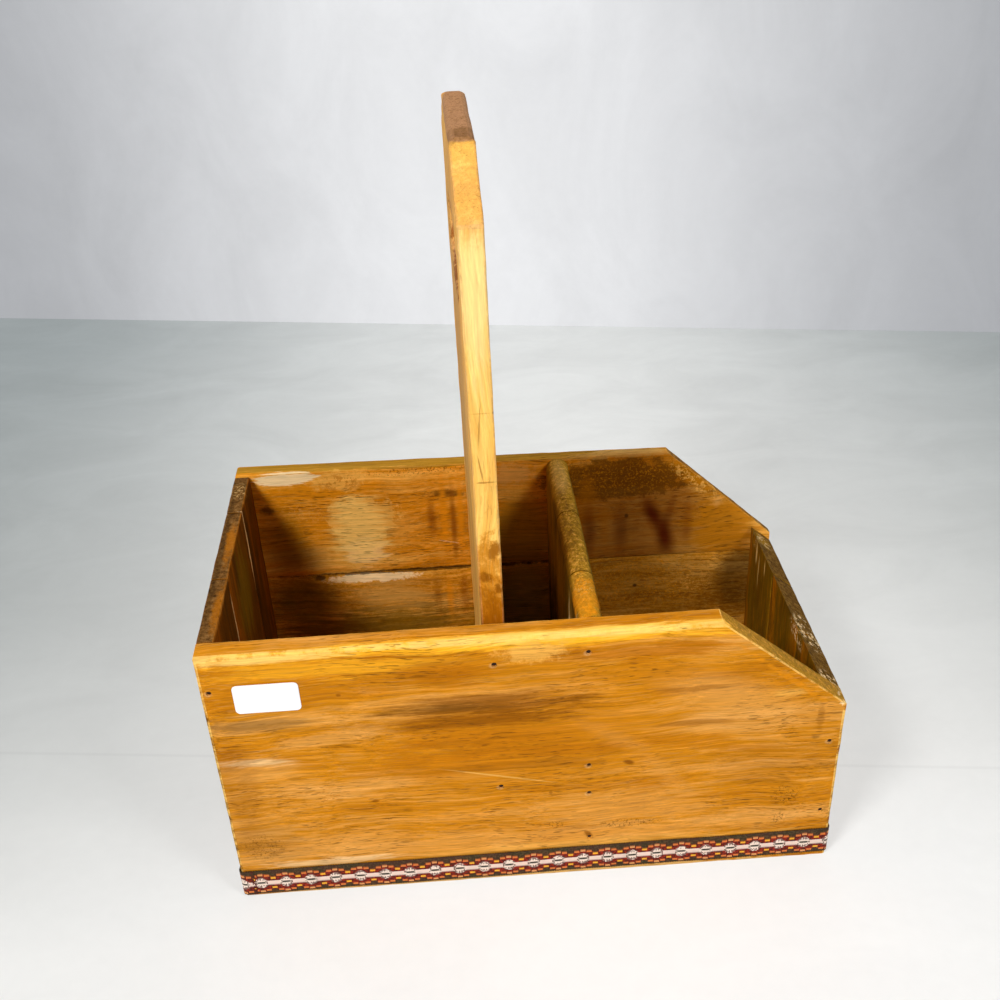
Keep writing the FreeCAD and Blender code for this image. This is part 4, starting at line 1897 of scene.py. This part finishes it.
@dataclass
class Studio:
    """A pale floor, a pale wall behind it, soft lamps and the camera."""

    fold_left: Pair = (-0.620, 0.859)
    fold_right: Pair = (0.603, 0.638)
    camera_place: Triple = (-0.0272, -0.6504, 0.6461)
    camera_turn: Triple = (57.0723, 2.4203, -3.1771)
    camera_lens: float = 44.578
    ambient: float = 0.17
    sky: float = 0.72
    floor_light: float = 0.6
    wall_light: float = 0.85
    reach: float = 3.0

    def _sheet(self, name: str, corners: Sequence[Triple], finish: Material) -> None:
        """Lay one flat sheet of studio paper.

        Args:
            name: the sheet's name.
            corners: its four corners.
            finish: its paper.
        """
        sheet = started(name, "plane", size=2)
        for vertex, corner in zip(sheet.data.vertices, corners):
            vertex.co = corner
        sheet.data.materials.append(finish)
        sheet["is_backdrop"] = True

    def build(self) -> None:
        """Lay the paper, hang the lamps, set the daylight and place the camera."""
        run = (Vector(self.fold_right) - Vector(self.fold_left)).normalized()
        left = Vector(self.fold_left) - run * self.reach
        right = Vector(self.fold_right) + run * self.reach
        middle, side = (Grey.WALL,) * 4, (Grey.WALL_SIDE,) * 4
        floor = StudioPaper("studio_floor", Grey.floor_middle(), Grey.floor_side(), self.floor_light).make()
        wall = StudioPaper("studio_wall", middle, side, self.wall_light, 0.0).make()
        fold = [(left.x, left.y, 0), (right.x, right.y, 0)]
        near = [(x, -self.reach, 0) for x, _, _ in fold]
        above = [(x, y, self.reach) for x, y, _ in fold]
        self._sheet("studio_floor", near + fold, floor)
        self._sheet("studio_wall", fold + above, wall)
        for lamp in self.lamps():
            lamp.hang()
        self._daylight()
        self._camera()

    def lamps(self) -> Sequence[Lamp]:
        """The three lamps.

        Returns:
            The lamps.
        """
        return (
            Lamp("left_lamp", (-1.05, -1.30, 1.85), 0.55, 0.77),
            Lamp("right_lamp", (1.10, -1.15, 1.65), 0.50, 0.36),
            Lamp("back_lamp", (0.2, 1.9, 1.5), 1.2, 0.22),
        )

    def _daylight(self) -> None:
        """Even light from all round, seen by the camera as pale grey."""
        world = bpy.data.worlds.new("daylight")
        bpy.context.scene.world = world
        world.use_nodes = True
        tree = world.node_tree
        background = tree.nodes["Background"]
        background.inputs["Color"].default_value = (1.0, 1.0, 1.0, 1.0)
        seen = tree.nodes.new("ShaderNodeLightPath")
        strength = tree.nodes.new("ShaderNodeMapRange")
        strength.inputs["To Min"].default_value = self.ambient
        strength.inputs["To Max"].default_value = self.sky
        tree.links.new(seen.outputs["Is Camera Ray"], strength.inputs["Value"])
        tree.links.new(strength.outputs["Result"], background.inputs["Strength"])

    def _camera(self) -> None:
        """Place the camera."""
        data = bpy.data.cameras.new("camera")
        data.lens = self.camera_lens
        data.sensor_width = 36.0
        data.clip_start = 0.01
        data.clip_end = 50.0
        camera = bpy.data.objects.new("camera", data)
        camera.location = self.camera_place
        camera.rotation_euler = [math.radians(angle) for angle in self.camera_turn]
        bpy.context.collection.objects.link(camera)
        bpy.context.scene.camera = camera


# ---- the boards' marks: stains and wear, and painted shade and highlights -------------------------
front = Brush(Side.FRONT)
inside = Brush(Side.BACK_INSIDE)
top = Brush(Side.TOP)
high_inside = Brush(Side.HIGH_END_INSIDE)
low_inside = Brush(Side.LOW_END_INSIDE)
low_top = Brush(Side.LOW_END_TOP)
divider_left = Brush(Side.DIVIDER_LEFT)
edge = Brush(Side.HANDLE_EDGE)
handle_left = Brush(Side.HANDLE_LEFT)
crest = Brush(Side.HANDLE_TOP)

FRONT_MARKS = (
    front.streak((0, 34), (195, 16), Tone.PEACH, 0.45),
    front.patch((0, 0), (210, 3.4), Tone.BONE, 0.7, soft=0.3),
    front.streak((55, 58), (70, 22), Tone.PEACH, 0.45),
    front.streak((-165, 112), (34, 16), Tone.PEACH, 0.5),
    front.streak((-120, 40), (60, 18), Tone.PEACH, 0.4),
    front.haze((118, 146), (66, 20), Tone.PEACH, 0.6, turn=-22, soft=0.8),
    front.streak((0, 200), (185, 11), Tone.GOLD, 0.95),
    front.haze((0, 199), (190, 7), Tone.GOLD, 0.7),
    front.streak((20, 199), (150, 5), Tone.SUNLIT, 0.5),
    front.streak((-150, 196), (60, 3), Tone.SUNLIT, 0.7),
    front.streak((-110, 186), (90, 8), Tone.GOLD, 0.5),
    front.streak((62, 168), (84, 13), Tone.GINGER, 0.75, soft=0.9),
    front.streak((58, 183), (70, 9), Tone.AMBER, 0.8),
    front.streak((-52, 176), (34, 14), Tone.AMBER, 0.7),
    front.streak((-100, 168), (46, 7), Tone.AMBER, 0.4),
    front.patch((2, 188), (25, 9), Tone.CORN, 0.8),
    front.haze((-5, 122), (130, 56), Tone.GINGER, 0.85, soft=0.9),
    front.streak((-20, 151), (86, 11), Tone.CHESTNUT, 0.75, soft=0.7),
    front.streak((-50, 150), (60, 5), Tone.UMBER, 0.5, soft=0.7),
    front.streak((-36, 139), (96, 7), Tone.CHESTNUT, 0.8, soft=0.7),
    front.streak((-20, 124), (86, 12), Tone.AMBER, 0.6, soft=0.8),
    front.streak((98, 152), (34, 2.6), Tone.CHESTNUT, 0.5),
    front.streak((98, 125), (34, 3.2), Tone.CHESTNUT, 0.5),
    front.streak((-2, 112), (80, 8), Tone.AMBER, 0.6, turn=-2),
    front.streak((-10, 100), (60, 6), Tone.CHESTNUT, 0.35),
    front.streak((-120, 133), (50, 7), Tone.PEACH, 0.6, turn=8),
    front.streak((50, 118), (34, 9), Tone.PEACH, 0.25, turn=-30, soft=0.9),
    front.streak((84, 80), (50, 10), Tone.PEACH, 0.25, turn=-52, soft=0.9),
    front.streak((-60, 104), (70, 12), Tone.AMBER, 0.45),
    front.streak((156, 143), (18, 4), Tone.CORN, 0.6),
    front.streak((-165, 117), (30, 4), Tone.CREAM, 0.45),
    front.streak((-160, 147), (44, 9), Tone.SMOKE, 0.6),
    front.streak((-168, 50), (30, 24), Tone.SMOKE, 0.3),
    front.streak((-178, 100), (16, 60), Tone.CHESTNUT, 0.3),
    front.streak((145, 88), (60, 24), Tone.CHESTNUT, 0.2),
    front.streak((100, 110), (50, 8), Tone.AMBER, 0.4, turn=-12),
    front.streak((40, 27), (150, 4), Tone.CORN, 0.4),
    front.streak((-130, 27), (60, 4), Tone.CREAM, 0.5),
    front.haze((-20, 92), (46, 0.9), Tone.SUNLIT, 0.35, turn=-14.6),
    front.streak((175, 123), (3.0, 14), Tone.CHESTNUT, 0.4),
    front.patch((150, 158), (46, 2.6), Tone.ORANGE, 0.6, turn=-41),
    front.flakes((188, 134), (4, 5), Tone.CREAM, 0.9, through=16),
    front.specks((158, 58), (12, 11), Tone.UMBER, 0.85),
    front.specks((156, 38), (6, 7), Tone.UMBER, 0.8),
    front.specks((60, 43), (26, 5), Tone.UMBER, 0.75),
    front.specks((13, 46), (8, 4), Tone.UMBER, 0.75),
    front.specks((-172, 44), (18, 16), Tone.UMBER, 0.6),
    front.haze((59, 96), (4.6, 2.4), Tone.CHESTNUT, 0.85, turn=-18, depth=0.8),
    front.patch((34, 35), (5.5, 2.6), Tone.CHESTNUT, 0.8, turn=-50, depth=0.6),
    front.haze((-98, 78), (3.2, 1.6), Tone.CHESTNUT, 0.8, depth=0.6),
    front.haze((-111, 166), (2, 1.6), Tone.CHESTNUT, 0.7, depth=0.5),
    front.haze((10.5, 75), (1.6, 2), Tone.CHESTNUT, 0.55),
    # Painted shade down the rounded corner at the high end.
    front.patch((-190, 90), (2.6, 112), Tone.UMBER, 0.85),
    front.patch((190, 66), (2.4, 66), Tone.CHESTNUT, 0.85),
)

NAIL_SPOTS = tuple(
    mark
    for across, up in (
        (-184.5, 174), (-20, 181), (-20, 83), (34.5, 185.5), (34.5, 96), (34.5, 72), (182.5, 102)
    )
    for mark in (
        # Each nail is a dark spot where it is set in, with a faint painted highlight on the hole's rim beside
        # it.
        front.haze((across - 0.7, up - 0.6), (3.0, 2.6), Tone.CREAM, 0.2),
        front.haze((across, up), (1.9, 1.7), Tone.BLACK_BROWN, 0.6),
    )
)

BACK_UPPER_MARKS = (
    top.streak((-60, 97), (190, 9), Tone.OLIVE, 0.85, turn=-2, soft=0.2, through=2),
    top.patch((85, 90), (34, 7), Tone.BONE, 0.6, turn=-2, through=2),
    # A russet stain, deepened by painted shade where the handle board shades the right bay.
    inside.haze((85, 148), (75, 70), Tone.RUSSET, 0.65, soft=0.5, through=9),
    inside.streak((154, 132), (32, 42), Tone.GINGER, 0.9),
    inside.patch((76, 180), (60, 19), Tone.UMBER, 0.7, soft=0.25),
    inside.specks((78, 181), (62, 20), Tone.ORANGE, 0.5),
    inside.streak((56, 172), (9, 20), Tone.AMBER, 0.6, soft=0.9),
    inside.haze((57, 136), (7, 34), Tone.OXBLOOD, 0.55, soft=0.9),
    inside.haze((68, 140), (6, 26), Tone.AMBER, 0.4, soft=0.9),
    inside.haze((80, 136), (8, 30), Tone.OXBLOOD, 0.5, soft=0.9),
    inside.haze((103, 148), (9, 24), Tone.OXBLOOD, 0.95, turn=24, soft=0.9),
    inside.haze((114, 146), (6, 24), Tone.OXBLOOD, 0.45, turn=-14, soft=0.9),
    inside.haze((112, 128), (10, 26), Tone.OXBLOOD, 0.95, turn=10, soft=0.9),
    inside.haze((128, 138), (6, 30), Tone.RUSSET, 0.4, soft=0.9),
    inside.haze((84, 148), (2.0, 2.4), Tone.BLACK_BROWN, 0.7),
    inside.streak((136, 175), (30, 7), Tone.GINGER, 0.8, turn=-41),
    inside.flakes((134, 174), (34, 9), Tone.CORN, 0.85, turn=-41),
    inside.patch((149, 156), (7, 7), Tone.PEACH, 0.8, soft=0.9),
    inside.patch((80, 199), (60, 2.6), Tone.SAND, 0.6),
    inside.streak((-130, 184), (44, 7), Tone.ORANGE, 0.9),
    inside.patch((-118, 192), (22, 10), Tone.CORN, 0.7, soft=0.4),
    inside.flakes((-118, 190), (20, 10), Tone.AMBER, 0.6),
    inside.patch((-104, 160), (26, 18), Tone.CORN, 0.75, soft=0.2),
    inside.patch((-108, 134), (20, 24), Tone.CORN, 0.75, soft=0.4),
    inside.streak((-88, 150), (34, 16), Tone.CORN, 0.4, soft=0.7),
    inside.streak((-106, 130), (17, 13), Tone.CREAM, 0.35, soft=0.3),
    inside.streak((-108, 150), (24, 32), Tone.SUNLIT, 0.65, soft=0.5),
    inside.specks((-145, 166), (22, 12), Tone.PEACH, 0.5),
    inside.streak((-156, 195.5), (23, 5), Tone.CREAM, 1.0, soft=0.15),
    # Painted shadow of the high end on the left bay's upper board, with an olive stain in it.
    inside.haze((-162, 140), (24, 40), Tone.DARK_OLIVE, 0.55, soft=0.8),
    inside.haze((-150, 128), (30, 18), Tone.BLACK_BROWN, 0.35, soft=0.9),
    inside.specks((-64, 196), (54, 5), Tone.CHESTNUT, 0.8),
    inside.patch((-42, 176), (20, 4), Tone.UMBER, 0.7, turn=-6),
    inside.haze((-56, 156), (5, 24), Tone.RUSSET, 0.6, soft=0.9),
    inside.haze((-47, 158), (4, 46), Tone.ORANGE, 0.9, soft=0.8),
    inside.haze((-40.5, 150), (3.4, 48), Tone.RUSSET, 0.65, soft=0.9),
    inside.haze((-35, 158), (3, 46), Tone.ORANGE, 0.8, soft=0.8),
    inside.patch((-46, 135), (9, 0.8), Tone.CREAM, 0.4, turn=-14),
    inside.patch((-172, 170), (8, 5), Tone.BLACK_BROWN, 0.7, soft=0.9),
    inside.patch((4, 189), (22, 11), Tone.PEACH, 0.8),
    inside.haze((8, 135), (28, 44), Tone.OLIVE, 0.8),
    inside.patch((-65, 112), (125, 1.6), Tone.BLACK_BROWN, 0.85),
    inside.patch((100, 111.8), (90, 0.9), Tone.UMBER, 0.3),
)

BACK_LOWER_MARKS = (
    inside.haze((95, 84), (90, 44), Tone.UMBER, 0.35, through=9),
    inside.specks((96, 88), (74, 34), Tone.ORANGE, 0.6),
    inside.specks((138, 86), (18, 14), Tone.SAND, 0.5),
    # Painted shadow of the low end in the right bay's lower corner.
    inside.haze((172, 84), (28, 46), Tone.BLACK_BROWN, 0.6),
    inside.haze((8, 70), (32, 60), Tone.OLIVE, 0.9),
    inside.haze((8, 64), (32, 56), Tone.BONE, 0.35, soft=0.8),
    # Darker and more olive towards the bottom of the left bay, and painted shade with an olive stain beside
    # the high end.
    inside.streak((-100, 50), (110, 46), Tone.DARK_OLIVE, 0.8),
    inside.haze((-155, 88), (32, 34), Tone.OLIVE_DRAB, 0.7, soft=0.7),
    inside.streak((-90, 92), (44, 20), Tone.SAND, 0.65, soft=0.8),
    inside.patch((-102, 107), (38, 5), Tone.CREAM, 0.85, soft=0.3),
    inside.patch((-141, 109), (6, 3), Tone.BLACK_BROWN, 0.8),
    inside.haze((-56, 90), (5, 26), Tone.CHESTNUT, 0.5, soft=0.9),
    inside.haze((-47, 86), (4, 28), Tone.ORANGE, 0.7, soft=0.9),
    inside.haze((-36, 88), (5, 28), Tone.RUSSET, 0.5, soft=0.9),
    inside.patch((-65, 111), (125, 1.6), Tone.BLACK_BROWN, 0.85),
    inside.patch((100, 111.2), (90, 0.9), Tone.UMBER, 0.3),
    inside.haze((91, 85), (2.2, 2.0), Tone.BLACK_BROWN, 0.8),
)

HIGH_END_MARKS = (
    top.specks((-184, 72), (7, 14), Tone.BONE, 0.75),
    top.patch((-187, 0), (3, 90), Tone.BLACK_BROWN, 0.5),
    top.patch((-183, 10), (4, 30), Tone.AMBER, 0.6),
    top.patch((-182, -60), (4, 30), Tone.AMBER, 0.6),
    top.patch((-179.3, -54), (1.0, 40), Tone.SAND, 0.5, through=3),
    high_inside.streak((46, 170), (1.6, 44), Tone.CREAM, 0.75, through=4),
    high_inside.streak((-29.5, 166), (1.4, 32), Tone.CREAM, 0.75, through=4),
    high_inside.streak((60, 150), (3, 50), Tone.CHESTNUT, 0.5, through=4),
    high_inside.streak((10, 160), (30, 40), Tone.OLIVE_DRAB, 0.6, through=4),
)

LOW_END_MARKS = (
    low_top.patch((74, 128), (14, 8), Tone.OLIVE, 0.6, through=12),
    low_top.flakes((74, 128), (12, 9), Tone.CREAM, 0.8, through=12),
    low_top.flakes((-40, 134), (24, 10), Tone.CREAM, 0.9, soft=0.3, through=12),
    low_top.flakes((-92, 136), (14, 10), Tone.CREAM, 1.0, soft=0.3, through=12),
    low_inside.streak((66, 122), (2.4, 14), Tone.BONE, 0.9, through=4),
    low_inside.streak((58, 114), (1.4, 18), Tone.BONE, 0.6, through=4),
    low_inside.streak((43, 126), (1.8, 10), Tone.BONE, 0.8, through=4),
)

DIVIDER_MARKS = (
    top.patch((36, -72), (12, 27), Tone.ORANGE, 0.75, soft=0.4, through=14),
    top.specks((36, -62), (8, 12), Tone.SUNLIT, 0.6, through=14),
    top.patch((38, -84), (6, 6), Tone.ORANGE, 0.85),
    top.flakes((35, 0), (12, 100), Tone.PEAT, 0.7, through=14),
    top.specks((35, -10), (12, 90), Tone.UMBER, 0.5, through=14),
    top.haze((34.5, 66), (7, 30), Tone.BONE, 0.3, through=10),
    top.haze((34, 36), (2.4, 1.6), Tone.UMBER, 0.8),
    top.haze((36, 29), (2.2, 1.4), Tone.UMBER, 0.8),
    top.haze((36.5, 21), (1.8, 1.8), Tone.UMBER, 0.7),
    divider_left.streak((-50, 140), (12, 60), Tone.CREAM, 0.85, soft=0.8, through=6),
    divider_left.streak((-68, 160), (5, 40), Tone.BLACK_BROWN, 0.7, through=6),
    divider_left.streak((-82, 140), (9, 64), Tone.CREAM, 0.8, soft=0.5, through=6),
    divider_left.haze((10, 150), (44, 60), Tone.OLIVE, 0.7, soft=0.9, through=6),
    # Painted shadow under the divider's rounded top.
    divider_left.haze((0, 190.5), (90, 1.6), Tone.BLACK_BROWN, 0.5, through=4),
)

HANDLE_MARKS = (
    edge.streak((-19, 404), (24, 70), Tone.STRAW, 0.7, soft=0.9),
    edge.patch((-19, 449), (30, 24), Tone.PEACH, 0.55, through=60),
    edge.patch((-19, 464), (30, 8), Tone.CORN, 0.7, through=54),
    edge.patch((-19, 450), (30, 3.4), Tone.PEACH, 0.6, through=40),
    edge.patch((-19, 439), (30, 1.6), Tone.PEACH, 0.5, through=30),
    crest.haze((-20, -3), (26, 47), Tone.GREY_BEIGE, 0.95, soft=0.06, through=7),
    crest.specks((-20, -3), (26, 47), Tone.BARK, 0.6, soft=0.1, through=7),
    crest.patch((-20, -38), (24, 14), Tone.BARK, 0.6, through=8),
    # Painted shade: the handle board's left face greyed as it looks in shadow.
    handle_left.streak((0, 320), (140, 260), Tone.GREY_BEIGE, 0.5, soft=0.9, through=5),
    # Painted shade inside the hand hole.
    handle_left.patch((-3, 395), (60, 23), Tone.RUSSET, 0.85, soft=0.25, through=9),
    edge.patch((-19, 214), (16, 54), Tone.GINGER, 0.8, soft=0.4),
    edge.patch((-19, 196), (16, 52), Tone.AMBER, 1.0),
    edge.patch((-19, 188), (16, 48), Tone.CHESTNUT, 0.6),
    edge.patch((-16, 250), (4, 9), Tone.CHESTNUT, 0.7, turn=-20),
    edge.patch((-22, 232), (4, 5), Tone.CHESTNUT, 0.7),
    edge.patch((-15, 224), (3.4, 5), Tone.CHESTNUT, 0.7),
    edge.haze((-20.2, 331), (0.6, 17), Tone.CHESTNUT, 0.5, turn=-5, depth=0.5),
    edge.haze((-21.0, 304), (0.6, 11), Tone.CHESTNUT, 0.6, turn=8, depth=0.5),
    edge.patch((-18.5, 295), (6.0, 0.7), Tone.CHESTNUT, 0.6, depth=0.4),
    edge.haze((-19, 337), (7, 0.5), Tone.AMBER, 0.35),
    edge.haze((-12.2, 337), (1.2, 1.3), Tone.BLACK_BROWN, 0.8),
    # Painted shade down the rounded left arris of the handle's front edge.
    edge.patch((-26.2, 300), (1.2, 130), Tone.GREY_BEIGE, 0.6),
)

FRONT_WOOD = Wood(
    "front_wood", Grain.ALONG, light=Tone.PEACH, end_light=Tone.HONEY, end_middle=Tone.OLIVE,
    end_dark=Tone.SMOKE, marks=FRONT_MARKS + NAIL_SPOTS,
)
BACK_UPPER_WOOD = Wood(
    "back_upper_wood", Grain.ALONG, light=Tone.CORN, middle=Tone.ORANGE, dark=Tone.AMBER,
    worn=Tone.SAND, wear=0.4, speckle=0.2, marks=BACK_UPPER_MARKS,
)
BACK_LOWER_WOOD = Wood(
    "back_lower_wood", Grain.ALONG, light=Tone.CORN, middle=Tone.TAN, dark=Tone.CHESTNUT,
    worn=Tone.TAN, wear=0.3, speckle=0.35, marks=BACK_LOWER_MARKS,
)
HIGH_END_WOOD = Wood(
    "high_end_wood", Grain.UPRIGHT, light=Tone.CHESTNUT, middle=Tone.UMBER, dark=Tone.BLACK_BROWN,
    end_light=Tone.SMOKE, end_middle=Tone.BARK, end_dark=Tone.BLACK_BROWN, worn=Tone.AMBER, wear=0.4,
    marks=HIGH_END_MARKS,
)
LOW_END_WOOD = Wood(
    "low_end_wood", Grain.UPRIGHT, light=Tone.AMBER, middle=Tone.DARK_OLIVE, dark=Tone.UMBER,
    worn=Tone.OLIVE, end_light=Tone.DRIFT, end_middle=Tone.PEAT, end_dark=Tone.BLACK_BROWN, marks=LOW_END_MARKS,
)
DIVIDER_WOOD = Wood(
    "divider_wood", Grain.UPRIGHT, light=Tone.OLIVE, middle=Tone.DARK_OLIVE, dark=Tone.BLACK_BROWN,
    worn=Tone.OLIVE, wear=0.25, end_light=Tone.CORN, end_middle=Tone.OLIVE, end_dark=Tone.PEAT,
    marks=DIVIDER_MARKS,
)
HANDLE_WOOD = Wood(
    "handle_wood", Grain.UPRIGHT, light=Tone.SUNLIT, middle=Tone.CORN, dark=Tone.HONEY,
    end_light=Tone.SAND, end_middle=Tone.GREY_BEIGE, end_dark=Tone.SMOKE, worn=Tone.GREY_BEIGE, pore=Tone.SAND,
    wear=0.35, pores=0.25, contrast=1.3, end=(0.90, 0.98), marks=HANDLE_MARKS,
)
BOTTOM_WOOD = Wood(
    "bottom_wood", Grain.ALONG, light=Tone.TAN, middle=Tone.AMBER, dark=Tone.UMBER, worn=Tone.SAND,
)


def main() -> None:
    """Build the tote in order, then light it."""
    nails = Nails()
    steel = Steel().make()
    panels = LongPanels(nails)
    panels.front(FRONT_WOOD.make())
    panels.back(BACK_LOWER_WOOD.make(), BACK_UPPER_WOOD.make())
    HighEnd("high_end", "end_wood", -190.0, -179.0, (-29.0, 45.0), first_number=4).build(HIGH_END_WOOD.make())
    LowEnd("low_end", "end_wood", 175.0, 190.0, (-43.0, 23.0), first_number=7).build(LOW_END_WOOD.make())
    Divider("divider", "divider_wood", 26.5, 42.5, (-45.0, 21.0), FLOOR_TOP, 10).build(DIVIDER_WOOD.make())
    Bottom().build(BOTTOM_WOOD.make())
    HandleBoard().build(HANDLE_WOOD.make())
    nails.build(steel)
    ribbon = Ribbon()
    ribbon.build(Weave(end=ribbon.repeats()[1]).make())
    Label().build(Paper().make())
    Studio().build()
    bpy.context.scene.view_settings.view_transform = "Standard"
    sizes = {"cad": CAD_BOX, "visual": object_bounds()}
    {name: [list(corner) for corner in box] for name, box in sizes.items()}


if __name__ == "__main__":
    logging.basicConfig(level=logging.INFO, format="%(name)s: %(message)s")
    main()
